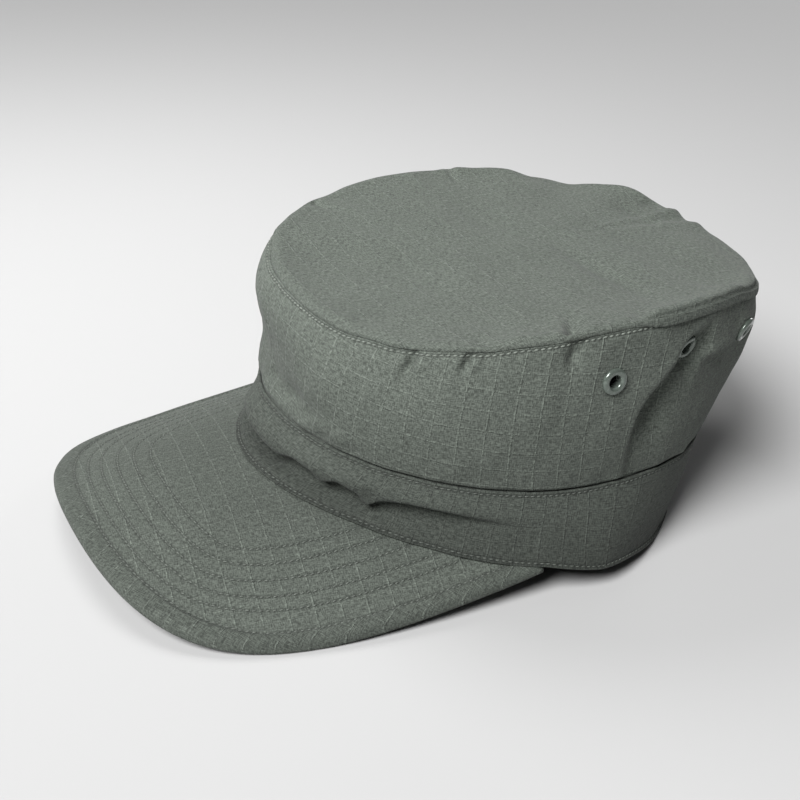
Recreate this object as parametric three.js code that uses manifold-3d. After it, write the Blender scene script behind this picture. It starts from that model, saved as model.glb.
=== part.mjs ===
// A soft field cap of ripstop cloth, unworn and resting on a flat surface.
// Millimetres, +Z up, +X to the wearer's left, the peak towards -Y. The surface that it rests on is z = 0.
// Angles run round the head from the wearer's left (0) to the back (90); the front is -90.

import * as THREE from 'three';
import { mergeVertices } from 'three/addons/utils/BufferGeometryUtils.js';
import Module from 'manifold-3d';

// Thicknesses and gaps
const CLOTH = 1.5;
const BAND_TOP_CLOTH = 1.4;
const BAND_HEM_CLOTH = 2.6;
const PEAK_THICKNESS = 2.8;
const SEAM_GAP = 0.3;
const PEAK_GAP = 0.45;
const TUCK = 0.12;
const WALL_STEP = 0.5;
const TOP_OVERHANG = 0.4;

// Level rows of the cap. front and back are reaches from the row's centre, square is the oval's squareness
// (2 is an ellipse), taper narrows the front, and the three heights are at the front, the sides and the back.
const ROWS = {
  rim: {
    halfWidth: 96.9, front: 101.9, back: 89.7, centre: 0, frontSquare: 2.07, backSquare: 1.6, taper: 0.246,
    frontHeight: 0, sideHeight: 0, backHeight: 0,
  },
  bandTop: {
    halfWidth: 87.1, front: 96.1, back: 90.1, centre: 5.3, frontSquare: 2.12, backSquare: 2.05, taper: 0,
    frontHeight: 49, sideHeight: 39.1, backHeight: 30.7,
  },
  wallMid: {
    halfWidth: 89.1, front: 94.4, back: 105.3, centre: 4.9, frontSquare: 2.24, backSquare: 2.11, taper: 0,
    frontHeight: 70.5, sideHeight: 70.5, backHeight: 61,
  },
  crownSeam: {
    halfWidth: 86.3, front: 91.7, back: 102.4, centre: 10, frontSquare: 2.37, backSquare: 2.18, taper: 0,
    frontHeight: 92, sideHeight: 102, backHeight: 91.1,
  },
};
const HEIGHT_CURVE = 1.5;

// The crown's top between its seam and its middle
const TOP_CENTRE = { x: 0, y: 14, z: 99.2 };
const TOP_CURVE = 2.2;

// The peak: where it meets the rim's sides, its outline's pull points, its fall to the front and its arch
const PEAK = {
  attachAngle: -11.64, attachHeight: 12.4, reach: 173.3, cornerWidth: 92, sidePull: 100.6, splay: 0.3,
  slope: 0.1314, arch: 0.0029, edgeRound: 1.3, underBand: 2.2,
};
// The band's lower edge lies flat on the surface behind this y
const FLAT_FROM = 50.7;

// Waves of the crown seam: the angle and half size in degrees, and how far it lifts and stands out in millimetres
const SEAM_WAVES = [
  { name: 'front right corner', angle: -128, wide: 14, lift: 1.6, out: 0.6 },
  { name: 'back right roll', angle: 118, wide: 12, lift: 4.4, out: 0 },
  { name: 'back right dip', angle: 146, wide: 12, lift: 0.8, out: 0 },
  { name: 'back left dip', angle: 66, wide: 9, lift: -0.8, out: 0 },
];

// Folds of the wall: angle and level (0 the band's top, 1 the crown seam) of the middle, half sizes in degrees
// and level, depth outwards in millimetres, and lean, the degrees that a fold turns from the foot to the seam.
const WALL_FOLDS = [
  { name: 'front bulge under the seam', angle: -114, level: 0.8, wide: 16, tall: 0.22, depth: 3.5, lean: 0 },
  { name: 'front pinch', angle: -102, level: 0.36, wide: 20, tall: 0.26, depth: -5, lean: 0 },
  { name: 'front dent above the band', angle: -84, level: 0.2, wide: 13, tall: 0.13, depth: -2.6, lean: 20 },
  { name: 'front roll above the band', angle: -66, level: 0.12, wide: 10, tall: 0.1, depth: 1.4, lean: 0 },
  { name: 'left diagonal ridge', angle: 11, level: 0.66, wide: 6, tall: 0.22, depth: 2.2, lean: 50 },
  { name: 'left hollow behind the ridge', angle: 24, level: 0.52, wide: 10, tall: 0.22, depth: -4.6, lean: 30 },
  { name: 'left crease', angle: 8, level: 0.26, wide: 5, tall: 0.2, depth: -1.8, lean: 0 },
  { name: 'left back roll', angle: 62, level: 0.75, wide: 12, tall: 0.2, depth: 1.6, lean: 20 },
  { name: 'back slump', angle: 92, level: 0.25, wide: 26, tall: 0.16, depth: -3, lean: 0 },
  { name: 'right back fold', angle: 138, level: 0.5, wide: 9, tall: 0.3, depth: -3.4, lean: -30 },
  { name: 'right side ridge', angle: 160, level: 0.55, wide: 8, tall: 0.25, depth: 2, lean: -40 },
  { name: 'right front dent', angle: 214, level: 0.3, wide: 12, tall: 0.16, depth: -2.2, lean: 0 },
];

// Folds of the band, with the same columns; level 0 is its lower edge and 1 its top
const BAND_FOLDS = [
  { name: 'front crease', angle: -86, level: 0.44, wide: 34, tall: 0.15, depth: -3.4, lean: 0 },
  { name: 'front overhang', angle: -78, level: 0.74, wide: 34, tall: 0.16, depth: 2, lean: 0 },
  { name: 'left crease', angle: -38, level: 0.56, wide: 24, tall: 0.13, depth: -1.8, lean: 0 },
  { name: 'left back roll', angle: 48, level: 0.5, wide: 20, tall: 0.4, depth: 1, lean: 0 },
  { name: 'right crease', angle: 232, level: 0.5, wide: 18, tall: 0.15, depth: -2.2, lean: 0 },
];

// Soft rises and hollows of the crown's top: place, half sizes and depth in millimetres
const TOP_FOLDS = [
  { name: 'left fold at the seam', x: 76, y: -8, wide: 9, long: 14, depth: 1.5 },
  { name: 'left back hollow', x: 60, y: 46, wide: 16, long: 24, depth: -3.2 },
  { name: 'back roll', x: 30, y: 92, wide: 30, long: 14, depth: 2.2 },
  { name: 'right roll', x: -66, y: 60, wide: 14, long: 16, depth: 2.4 },
  { name: 'front sag', x: -8, y: -46, wide: 40, long: 26, depth: -2.4 },
];

// Vent eyelets: the angle and level of the three on the wearer's left, and the sizes of each
const EYELET_PLACES = [
  { name: 'front', angle: -1.5, level: 0.705 },
  { name: 'middle', angle: 16.5, level: 0.775 },
  { name: 'back', angle: 38.5, level: 0.795 },
];
const EYELET = { flange: 5.2, hole: 2.4, barrel: 2.9, clearance: 0.35, gap: 0.3, rise: 1.1, rolled: 4.4, sides: 12 };
// The half sizes, in degrees and level, of the cloth that an eyelet holds flat
const EYELET_CALM = { wide: 5, tall: 0.12 };

// How finely each piece is cut up
const ROUND_STEPS = 72;
const BAND_STEPS = 7;
const WALL_STEPS = 10;
const TOP_STEPS = 6;
const PEAK_LONG_STEPS = 40;
const PEAK_CROSS_STEPS = 6;

const CLOTH_COLOUR = 0x6b746a;
const PEAK_COLOUR = 0x687167;
const EYELET_COLOUR = 0x59655a;

const rad = THREE.MathUtils.degToRad;
const clamp01 = (value) => THREE.MathUtils.clamp(value, 0, 1);

// The smallest turn from one angle to another, in degrees
function turn(from, to) {
  return ((to - from + 540) % 360 + 360) % 360 - 180;
}

// A point of a row's oval, with the row's height there
function rowPoint(row, angle) {
  const c = Math.cos(angle);
  const s = Math.sin(angle);
  const front = s < 0;
  const power = 2 / (front ? row.frontSquare : row.backSquare);
  const along = Math.abs(s) ** power;
  const narrow = front ? 1 - row.taper * along ** HEIGHT_CURVE : 1;
  const endHeight = front ? row.frontHeight : row.backHeight;
  return new THREE.Vector3(
    row.halfWidth * Math.sign(c) * Math.abs(c) ** power * narrow,
    row.centre + (front ? -row.front : row.back) * along,
    row.sideHeight + (endHeight - row.sideHeight) * along ** HEIGHT_CURVE,
  );
}

// The crown seam: its row's oval with the seam's waves
function seamPoint(angle) {
  const point = rowPoint(ROWS.crownSeam, angle);
  const out = new THREE.Vector3(point.x, point.y - ROWS.crownSeam.centre, 0).normalize();
  for (const wave of SEAM_WAVES) {
    const share = Math.exp(-((turn(wave.angle, THREE.MathUtils.radToDeg(angle)) / wave.wide) ** 2));
    point.addScaledVector(out, wave.out * share);
    point.z += wave.lift * share;
  }
  return point;
}

const ATTACH = rowPoint(ROWS.rim, rad(PEAK.attachAngle));

// The top face of the peak, which the band's front edge follows
function peakHeight(x, y) {
  const fall = PEAK.slope * (ATTACH.y - y);
  const arch = PEAK.arch * (x * x - ATTACH.x * ATTACH.x);
  return PEAK.attachHeight - fall - arch;
}

// How high the band's lower edge stands: on the peak in front, then down to the surface behind
function underHeight(x, y) {
  const onPeak = peakHeight(x, Math.min(y, ATTACH.y)) + PEAK_GAP;
  const u = clamp01((y - ATTACH.y) / (FLAT_FROM - ATTACH.y));
  return onPeak * (1 - u * u * (3 - 2 * u));
}

function rimPoint(angle) {
  const point = rowPoint(ROWS.rim, angle);
  point.z = underHeight(point.x, point.y);
  return point;
}

// How far the folds push a surface outwards
function foldDepth(folds, angle, level) {
  let depth = 0;
  for (const fold of folds) {
    const centre = fold.angle + fold.lean * (level - fold.level);
    const across = turn(centre, THREE.MathUtils.radToDeg(angle)) / fold.wide;
    const up = (level - fold.level) / fold.tall;
    depth += fold.depth * Math.exp(-across * across - up * up);
  }
  return depth;
}

// A metal eyelet holds the cloth round it flat, so the folds keep one depth there
function calmedDepth(folds, angle, level) {
  let depth = foldDepth(folds, angle, level);
  for (const place of EYELET_PLACES) {
    for (const centre of [rad(place.angle), Math.PI - rad(place.angle)]) {
      const across = turn(THREE.MathUtils.radToDeg(centre), THREE.MathUtils.radToDeg(angle)) / EYELET_CALM.wide;
      const up = (level - place.level) / EYELET_CALM.tall;
      const held = Math.exp(-((across * across + up * up) ** 2));
      depth += (foldDepth(folds, centre, place.level) - depth) * held;
    }
  }
  return depth;
}

// A plain surface, moved outwards by its folds along its own normal
function folded(plain, folds, depthOf) {
  return (angle, level) => {
    const point = plain(angle, level);
    return point.addScaledVector(normalOf(plain, angle, level), depthOf(folds, angle, level));
  };
}

// The outward normal of a surface that is a function of angle and level
function normalOf(surface, angle, level) {
  const step = 0.002;
  const along = surface(angle + step, level).sub(surface(angle - step, level));
  const up = surface(angle, level + step).sub(surface(angle, level - step));
  return along.cross(up).normalize();
}

function plainBand(angle, level) {
  return rimPoint(angle).lerp(rowPoint(ROWS.bandTop, angle), level);
}

function plainWall(angle, level) {
  const foot = rowPoint(ROWS.bandTop, angle).multiplyScalar((1 - level) * (1 - 2 * level));
  const middle = rowPoint(ROWS.wallMid, angle).multiplyScalar(4 * level * (1 - level));
  const seam = seamPoint(angle).multiplyScalar(level * (2 * level - 1));
  return foot.add(middle).add(seam);
}

const bandSurface = folded(plainBand, BAND_FOLDS, foldDepth);
const wallSurface = folded(plainWall, WALL_FOLDS, calmedDepth);

// The crown's top face: radius 0 is its middle and 1 its seam
function topSurface(angle, radius) {
  const edge = seamPoint(angle);
  const middle = new THREE.Vector3(TOP_CENTRE.x, TOP_CENTRE.y, 0);
  const point = middle.lerp(new THREE.Vector3(edge.x, edge.y, 0), radius);
  point.z = TOP_CENTRE.z + (edge.z + SEAM_GAP + CLOTH - TOP_CENTRE.z) * radius ** TOP_CURVE;
  for (const fold of TOP_FOLDS) {
    const across = (point.x - fold.x) / fold.wide;
    const along = (point.y - fold.y) / fold.long;
    point.z += fold.depth * (1 - radius ** 6) * Math.exp(-across * across - along * along);
  }
  return point;
}

// Joins sections of equal length, each a closed loop of points, into one closed body. The sections run all the way
// round, or end in two flat ends. With poles, each section starts and ends on one shared point.
function sweep(sections, { round = true, poles = false } = {}) {
  const points = [];
  const faces = [];
  const size = sections[0].length;
  const index = sections.map((section, s) => section.map((point, i) => {
    if (poles && s > 0 && (i === 0 || i === size - 1)) return i === 0 ? 0 : size - 1;
    points.push(point.x, point.y, point.z);
    return points.length / 3 - 1;
  }));
  const last = round ? sections.length : sections.length - 1;
  for (let s = 0; s < last; s += 1) {
    const here = index[s];
    const next = index[(s + 1) % sections.length];
    for (let i = 0; i < (poles ? size - 1 : size); i += 1) {
      const up = (i + 1) % size;
      if (here[i] !== next[i]) faces.push(here[i], next[i], next[up]);
      if (here[up] !== next[up]) faces.push(here[i], next[up], here[up]);
    }
  }
  if (!round) {
    for (const [end, flip] of [[index[0], false], [index[index.length - 1], true]]) {
      for (let i = 0; i < size / 2 - 1; i += 1) {
        const [a, b, c, d] = [end[i], end[i + 1], end[size - 2 - i], end[size - 1 - i]];
        faces.push(...(flip ? [a, c, b, a, d, c] : [a, b, c, a, c, d]));
      }
    }
  }
  const geometry = new THREE.BufferGeometry();
  geometry.setAttribute('position', new THREE.Float32BufferAttribute(points, 3));
  geometry.setIndex(faces);
  geometry.computeVertexNormals();
  return geometry;
}

const rising = (count) => Array.from({ length: count + 1 }, (_, i) => i / count);
const roundAngles = Array.from({ length: ROUND_STEPS }, (_, i) => (i / ROUND_STEPS) * 2 * Math.PI);

// A surface point and the point under it at a depth along the normal
function layer(surface, angle, level, depth) {
  return surface(angle, level).addScaledVector(normalOf(surface, angle, level), -depth);
}

const bandCloth = (level) => BAND_HEM_CLOTH + (BAND_TOP_CLOTH - BAND_HEM_CLOTH) * Math.min(1, level * 2);

function bandGeometry() {
  const levels = rising(BAND_STEPS);
  return sweep(roundAngles.map((angle) => {
    const outer = levels.map((level) => bandSurface(angle, level));
    const inner = levels.map((level) => layer(bandSurface, angle, level, bandCloth(level)));
    for (const edge of [outer[0], inner[0]]) edge.z = underHeight(edge.x, edge.y);
    return [...outer, ...inner.reverse()];
  }));
}

// The wall starts tucked in behind the band's top edge, then steps out to its own surface
function wallGeometry() {
  const tucked = BAND_TOP_CLOTH + SEAM_GAP;
  const levels = rising(WALL_STEPS).slice(1);
  return sweep(roundAngles.map((angle) => {
    const section = (depth) => [
      layer(bandSurface, angle, 1 - TUCK, tucked + depth),
      layer(bandSurface, angle, 1, tucked + depth),
      ...levels.map((level) => layer(wallSurface, angle, level, WALL_STEP * (1 - level) + depth)),
    ];
    return [...section(0), ...section(CLOTH).reverse()];
  }));
}

function topGeometry() {
  const radii = rising(TOP_STEPS).reverse();
  return sweep(roundAngles.map((angle) => {
    const face = radii.map((radius) => topSurface(angle, radius));
    const seam = seamPoint(angle);
    const out = new THREE.Vector3(seam.x, seam.y - ROWS.crownSeam.centre, 0).normalize();
    face[0].addScaledVector(out, TOP_OVERHANG - CLOTH / 2);
    const under = face.map((point) => point.clone().add(new THREE.Vector3(0, 0, -CLOTH)));
    const edge = seam.clone().addScaledVector(out, TOP_OVERHANG);
    edge.z += SEAM_GAP + CLOTH / 2;
    return [...under.reverse(), edge, ...face];
  }), { poles: true });
}

// The peak's outer outline on one side: 0 at the rim's side, 1 at the middle of the front
const peakHalf = new THREE.CubicBezierCurve(
  new THREE.Vector2(ATTACH.x, ATTACH.y),
  new THREE.Vector2(
    ATTACH.x + PEAK.sidePull * Math.sin(rad(PEAK.splay)),
    ATTACH.y - PEAK.sidePull * Math.cos(rad(PEAK.splay)),
  ),
  new THREE.Vector2(PEAK.cornerWidth, -PEAK.reach),
  new THREE.Vector2(0, -PEAK.reach),
);

// share runs from -1 at the wearer's right end of the peak to 1 at the left end
function peakSection(share) {
  const outline = peakHalf.getPoint(1 - Math.abs(share));
  const outer = new THREE.Vector2(Math.sign(share || 1) * outline.x, outline.y);
  const halfTurn = 90 + PEAK.attachAngle;
  const rim = rimPoint(rad(-90 + halfTurn * share));
  const inner = new THREE.Vector2(rim.x, rim.y);
  const middle = new THREE.Vector2(0, ATTACH.y);
  inner.addScaledVector(inner.clone().sub(middle).normalize(), -PEAK.underBand);
  const across = outer.clone().sub(inner);
  const flat = across.length() - PEAK.edgeRound;
  across.normalize();
  const place = (distance, drop) => {
    const x = inner.x + across.x * distance;
    const y = inner.y + across.y * distance;
    return new THREE.Vector3(x, y, peakHeight(x, y) - drop);
  };
  const steps = rising(PEAK_CROSS_STEPS);
  const top = steps.map((step) => place(flat * step, 0));
  const under = steps.map((step) => place(flat * step, PEAK_THICKNESS));
  const edge = [PEAK_THICKNESS * 0.75, PEAK_THICKNESS * 0.25].map((drop) => place(flat + PEAK.edgeRound, drop));
  return [...top.reverse(), ...under, ...edge];
}

function peakGeometry() {
  const shares = rising(PEAK_LONG_STEPS).map((step) => step * 2 - 1);
  return sweep(shares.map(peakSection), { round: false });
}

// Where an eyelet sits in the wall's own cloth, and the way that it faces. The wearer's right is the left mirrored.
function eyeletSeat(place, side) {
  const angle = side > 0 ? rad(place.angle) : Math.PI - rad(place.angle);
  const depth = WALL_STEP * (1 - place.level);
  return {
    name: `eyelet_${side > 0 ? 'left' : 'right'}_${place.name}`,
    point: layer(wallSurface, angle, place.level, depth),
    normal: normalOf(wallSurface, angle, place.level),
  };
}

const SEATS = [1, -1].flatMap((side) => EYELET_PLACES.map((place) => eyeletSeat(place, side)));
const AXIS = new THREE.Vector3(0, 1, 0);

// An eyelet between the highest and lowest cloth under its two flanges
function eyeletGeometry({ high, low }) {
  const top = high + EYELET.gap;
  const foot = low - EYELET.gap;
  const profile = [
    [EYELET.hole, foot - EYELET.rise / 2], [EYELET.rolled, foot - EYELET.rise / 2], [EYELET.rolled, foot],
    [EYELET.barrel, foot], [EYELET.barrel, top], [EYELET.flange, top], [EYELET.flange, top + EYELET.rise / 2],
    [EYELET.flange - EYELET.rise / 2, top + EYELET.rise], [EYELET.hole + EYELET.rise / 2, top + EYELET.rise],
    [EYELET.hole, top + EYELET.rise / 2], [EYELET.hole, foot - EYELET.rise / 2],
  ];
  return new THREE.LatheGeometry(profile.map(([r, h]) => new THREE.Vector2(r, h)), EYELET.sides);
}

const wasm = await Module();
wasm.setup();

// A closed geometry as a solid that can be cut, and back
function toSolid(geometry) {
  const bare = geometry.clone();
  bare.deleteAttribute('normal');
  bare.deleteAttribute('uv');
  const merged = mergeVertices(bare, 1e-4);
  return new wasm.Manifold(new wasm.Mesh({
    numProp: 3,
    vertProperties: merged.attributes.position.array,
    triVerts: new Uint32Array(merged.index.array),
  }));
}

function toGeometry(solid) {
  const mesh = solid.getMesh();
  const geometry = new THREE.BufferGeometry();
  geometry.setAttribute('position', new THREE.BufferAttribute(mesh.vertProperties, 3));
  geometry.setIndex(new THREE.BufferAttribute(mesh.triVerts, 1));
  geometry.computeVertexNormals();
  return geometry;
}

// A round bar through the wall at an eyelet's seat
function barAt(seat, radius) {
  const bar = new THREE.CylinderGeometry(radius, radius, CLOTH * 8, EYELET.sides);
  bar.applyQuaternion(new THREE.Quaternion().setFromUnitVectors(AXIS, seat.normal));
  bar.translate(seat.point.x, seat.point.y, seat.point.z);
  return toSolid(bar);
}

// How high and low the wall's cloth reaches within a radius of a seat, along the seat's normal
function clothReach(wall, seat, radius) {
  const vertices = wall.intersect(barAt(seat, radius)).getMesh().vertProperties;
  const heights = [];
  for (let i = 0; i < vertices.length; i += 3) {
    heights.push(new THREE.Vector3().fromArray(vertices, i).sub(seat.point).dot(seat.normal));
  }
  return { high: Math.max(...heights), low: Math.min(...heights) };
}

function piece(name, geometry, colour, roughness, metalness) {
  const mesh = new THREE.Mesh(geometry, new THREE.MeshStandardMaterial({ color: colour, roughness, metalness }));
  mesh.name = name;
  return mesh;
}

let wall = toSolid(wallGeometry());
for (const seat of SEATS) {
  seat.reach = {
    high: clothReach(wall, seat, EYELET.flange).high,
    low: clothReach(wall, seat, EYELET.rolled).low,
  };
  wall = wall.subtract(barAt(seat, EYELET.barrel + EYELET.clearance));
}

const cap = new THREE.Group();
cap.add(piece('crown_top', topGeometry(), CLOTH_COLOUR, 0.9, 0));
cap.add(piece('crown_side', toGeometry(wall), CLOTH_COLOUR, 0.9, 0));
cap.add(piece('band', bandGeometry(), CLOTH_COLOUR, 0.9, 0));
cap.add(piece('peak', peakGeometry(), PEAK_COLOUR, 0.9, 0));
for (const seat of SEATS) {
  const eyelet = piece(seat.name, eyeletGeometry(seat.reach), EYELET_COLOUR, 0.4, 0.6);
  eyelet.position.copy(seat.point);
  eyelet.quaternion.setFromUnitVectors(AXIS, seat.normal);
  cap.add(eyelet);
}

// The origin is under the middle of the cap's outer box
const box = new THREE.Box3().setFromObject(cap);
const middle = box.getCenter(new THREE.Vector3());
cap.position.set(-middle.x, -middle.y, -box.min.z);

export default cap;
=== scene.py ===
"""A soft field cap of ripstop cloth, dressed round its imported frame.

Tables of shapes are in millimetres, as the part's own are, and MM turns them into Blender's metres.
The camera, the lamps and the cloth's pattern are in metres.
Angles run round the head in degrees, from the wearer's left (0) to the back (90); the front is -90.
"""

import math
from collections import namedtuple

import bpy
import numpy as np
from bpy.props import FloatProperty, FloatVectorProperty, PointerProperty
from mathutils import Matrix, Vector


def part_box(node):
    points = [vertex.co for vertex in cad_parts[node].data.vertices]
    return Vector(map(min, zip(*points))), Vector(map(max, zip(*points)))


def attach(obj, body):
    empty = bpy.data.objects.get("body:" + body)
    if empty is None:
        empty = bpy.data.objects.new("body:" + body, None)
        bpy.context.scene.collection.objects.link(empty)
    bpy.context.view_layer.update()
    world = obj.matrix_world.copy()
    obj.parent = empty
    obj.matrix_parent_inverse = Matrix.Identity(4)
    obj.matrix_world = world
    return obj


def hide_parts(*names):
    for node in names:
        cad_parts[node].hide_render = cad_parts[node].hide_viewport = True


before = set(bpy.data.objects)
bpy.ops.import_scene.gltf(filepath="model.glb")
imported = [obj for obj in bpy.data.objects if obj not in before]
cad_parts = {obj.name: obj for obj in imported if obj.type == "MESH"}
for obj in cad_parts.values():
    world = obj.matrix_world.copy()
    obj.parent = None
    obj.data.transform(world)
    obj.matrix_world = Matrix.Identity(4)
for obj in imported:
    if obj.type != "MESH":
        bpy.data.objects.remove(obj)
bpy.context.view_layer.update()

bl_info = {
    "name": "Field cap",
    "version": (1, 0, 0),
    "blender": (4, 5, 0),
    "location": "3D View > Sidebar > Cap",
    "description": "Builds a soft ripstop field cap with its stitching and vent eyelets",
    "category": "Add Mesh",
}

MM = 0.001
TAU = 2 * math.pi

# Gaps and edges of the sewn pieces
BAND_TOP_CLOTH = 1.4
BAND_HEM_CLOTH = 2.6
SEAM_GAP = 0.3
PEAK_GAP = 0.45
TUCK = 0.12
WALL_STEP = 0.1
HEIGHT_CURVE = 1.5

# Level rows of the cap. front and back are reaches from the row's centre, a square of 2 is an ellipse,
# taper narrows the front, and the three heights are at the front, the sides and the back.
Row = namedtuple(
    "Row", "half_width front back centre front_square back_square taper front_height side_height back_height"
)
RIM = Row(96.9, 101.9, 89.7, 0, 2.07, 1.6, 0.246, 0, 0, 0)
BAND_TOP = Row(87.1, 96.1, 90.1, 5.3, 2.12, 2.05, 0, 49, 39.1, 30.7)
WALL_MIDDLE = Row(89.1, 94.4, 105.3, 4.9, 2.24, 2.11, 0, 70.5, 70.5, 61)
CROWN_SEAM = Row(86.3, 91.7, 102.4, 10, 2.37, 2.18, 0, 92, 102, 91.1)

# The crown's top between its seam and its middle
TOP_CENTRE = (0, 14, 99.2)
TOP_CURVE = 2.2
TOP_FREE = 6

# The peak: where it leaves the rim, its outline's pull points, its fall to the front and its arch
PEAK_ANGLE = -11.64
PEAK_HEIGHT = 12.4
PEAK_REACH = 173.3
PEAK_CORNER = 92
PEAK_SIDE_PULL = 100.6
PEAK_SPLAY = 0.3
PEAK_SLOPE = 0.1314
PEAK_ARCH = 0.0029
PEAK_UNDER_BAND = 2.2
FLAT_FROM = 50.7

# The row's centre in the frame, from the peak's front edge
SHIFT = np.array([0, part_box("peak")[0].y / MM + PEAK_REACH, 0])

# Waves of the crown seam: angle and half size in degrees, lift and stand-out in millimetres
Wave = namedtuple("Wave", "name angle wide lift out")
SEAM_WAVES = (
    Wave("front right corner", -128, 14, 1.6, 0.6),
    Wave("back right roll", 118, 12, 4.4, 0),
    Wave("back right dip", 138, 5, -1, 0),
    Wave("first back pleat", 101.5, 2.4, 1.9, 0.2),
    Wave("second back pleat", 93, 3, 2.1, 0.2),
    Wave("back left dip", 66, 9, -0.8, 0),
    Wave("left back corner", 43, 11, -1.2, 1),
    Wave("left back seam", 26, 20, 2.4, 0),
)

# Folds: angle and level of the middle, half sizes in degrees and level, depth outwards, and lean in degrees
Fold = namedtuple("Fold", "name angle level wide tall depth lean")
WALL_FOLDS = (
    Fold("front bulge under the seam", -114, 0.8, 16, 0.22, 3.2, 0),
    Fold("front pinch", -102, 0.36, 20, 0.26, -5, 0),
    Fold("front dent above the band", -84, 0.2, 13, 0.13, -2.6, 20),
    Fold("front roll above the band", -66, 0.12, 10, 0.1, 1.4, 0),
    Fold("crease under the ridge, lit side", 6.4, 0.38, 2.4, 0.15, 1.2, -8),
    Fold("crease under the ridge, dark side", 11, 0.38, 3, 0.17, -2.2, -8),
    Fold("left hollow behind the ridge", 26, 0.5, 11, 0.2, -0.8, 20),
    Fold("left back hollow", 40, 0.4, 12, 0.24, -1, 0),
    Fold("left back fullness", 57, 0.5, 9, 0.4, 2.2, 0),
    Fold("far front tuck", -122, 0.22, 15, 0.26, -1.2, 0),
    Fold("left back roll", 62, 0.75, 12, 0.2, 1.6, 20),
    Fold("back slump", 92, 0.25, 26, 0.16, -3, 0),
    Fold("right back fold", 138, 0.5, 9, 0.3, -3.4, -30),
    Fold("right side ridge", 160, 0.55, 8, 0.25, 2, -40),
    Fold("right front dent", 214, 0.3, 12, 0.16, -2.2, 0),
    Fold("seam pucker front", -50, 0.89, 1.2, 0.08, -2.2, 3),
    Fold("seam pucker front, its left ridge", -52.6, 0.9, 1.4, 0.08, 0.9, 3),
    Fold("seam pucker front, its right ridge", -47.3, 0.9, 1.7, 0.08, 1.2, 3),
    Fold("seam pucker middle", -36, 0.93, 1.0, 0.055, -2.0, 6),
    Fold("seam pucker middle, its right ridge", -33.8, 0.93, 1.3, 0.06, 0.9, 6),
    Fold("seam pucker middle, its left ridge", -38.2, 0.93, 1.2, 0.06, 0.6, 6),
    Fold("seam pucker left", -11, 0.91, 1.5, 0.08, -2.2, 0),
    Fold("dent over the band, far", -97, 0.15, 3.4, 0.09, -1.1, 30),
    Fold("dent over the band, second", -87, 0.16, 3.4, 0.1, -0.6, 40),
    Fold("dent over the band, third", -78, 0.12, 3.2, 0.1, -0.8, 40),
    Fold("dent over the band, fourth", -70, 0.06, 2.6, 0.06, -0.8, 20),
    Fold("dent over the band, fifth", -60, 0.08, 2.6, 0.06, -0.8, 0),
    Fold("right pucker", 222, 0.92, 1.6, 0.08, -1.1, 20),
    Fold("back pucker", 100, 0.92, 1.8, 0.08, -1.1, 10),
    Fold("back left pucker", 74, 0.93, 1.6, 0.08, -1, 0),
)
BAND_FOLDS = (
    Fold("far front tuck", -118, 0.75, 12, 0.3, -2.6, 0),
    Fold("front crease", -70, 0.3, 44, 0.16, -1.2, 0),
    Fold("front overhang", -66, 0.66, 46, 0.17, 2.2, 0),
    Fold("front dent", -101, 0.38, 5, 0.13, -2.6, 0),
    Fold("under the front crease, far", -86, 0.32, 12, 0.1, -1.6, 0),
    Fold("under the front crease, near", -62, 0.34, 9, 0.1, -1.2, 0),
    Fold("left crease", -38, 0.56, 24, 0.13, -0.9, 0),
    Fold("left back roll", 48, 0.5, 20, 0.4, 1, 0),
    Fold("right crease", 232, 0.5, 18, 0.15, -2.2, 0),
)

# Soft rises and hollows of the crown's top: place, half sizes and depth
Rise = namedtuple("Rise", "name x y wide long depth")
TOP_RISES = (
    Rise("left fold at the seam", 76, -8, 9, 14, 1.5),
    Rise("left back hollow", 56, 46, 14, 22, -1.6),
    Rise("back roll", 30, 92, 30, 14, 2.2),
    Rise("right roll", -66, 60, 14, 16, 2.4),
    Rise("front sag", -8, -46, 40, 26, -2.4),
    Rise("front right pinch", -54, -66, 9, 5, -1.6),
    Rise("soft hollow by the front seam", 66, -30, 7, 6, -0.9),
    Rise("long soft crease", 34, 33, 30, 5, -1.8),
    Rise("swelling behind the crease", 42, 50, 22, 10, 1.8),
    Rise("back crease", -16, 88, 18, 4.5, -1.6),
    Rise("swelling by the left pinch", 74, 4, 6, 7, 1.2),
)

# The top's edge hangs over its seam in rolls: angles of the roll, how sharply it starts and ends, and height
Roll = namedtuple("Roll", "name start end sharp_start sharp_end height")
TOP_ROLLS = (
    Roll("left back roll", -1, 60, 8, 16, 2.6),
    Roll("left front roll", -34, 7.5, 10, 2, 0.6),
    Roll("front roll", -150, -60, 20, 14, 0.8),
    Roll("back roll", 104, 140, 12, 12, 1.2),
    Roll("right back roll", 146, 176, 9, 8, 2.4),
)

# Rolls: how far in they reach, how steeply they rise from the seam, how far the first hangs out, and how
# far in the cloth's grid makes up for their length
ROLL_REACH = 10
ROLL_STEEP = 0.5
ROLL_OUT = 1.1
ROLL_OUT_AT = 0.8
ROLL_OUT_WIDE = 0.9
ROLL_CLOTH_REACH = 45

# Pinches run inwards from the top's seam: from, to, half width and depth
Pinch = namedtuple("Pinch", "name x y to_x to_y wide depth")
TOP_PINCHES = (
    Pinch("left pinch", 86, -15, 62, -1, 2.9, -4.4),
    Pinch("beside the left pinch", 88, -21, 70, -12, 3, 1),
    Pinch("left back pinch", 84, 14, 66, 28, 3, -1.6),
    Pinch("left front pinch", 74, -46, 64, -38, 2.4, -0.8),
    Pinch("right pinch", -84, 30, -66, 26, 2, -1.6),
    Pinch("right front pinch", -72, -40, -56, -32, 2.2, -1.3),
    Pinch("back pinch", -30, 108, -26, 92, 2.4, -1.2),
)

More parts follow.
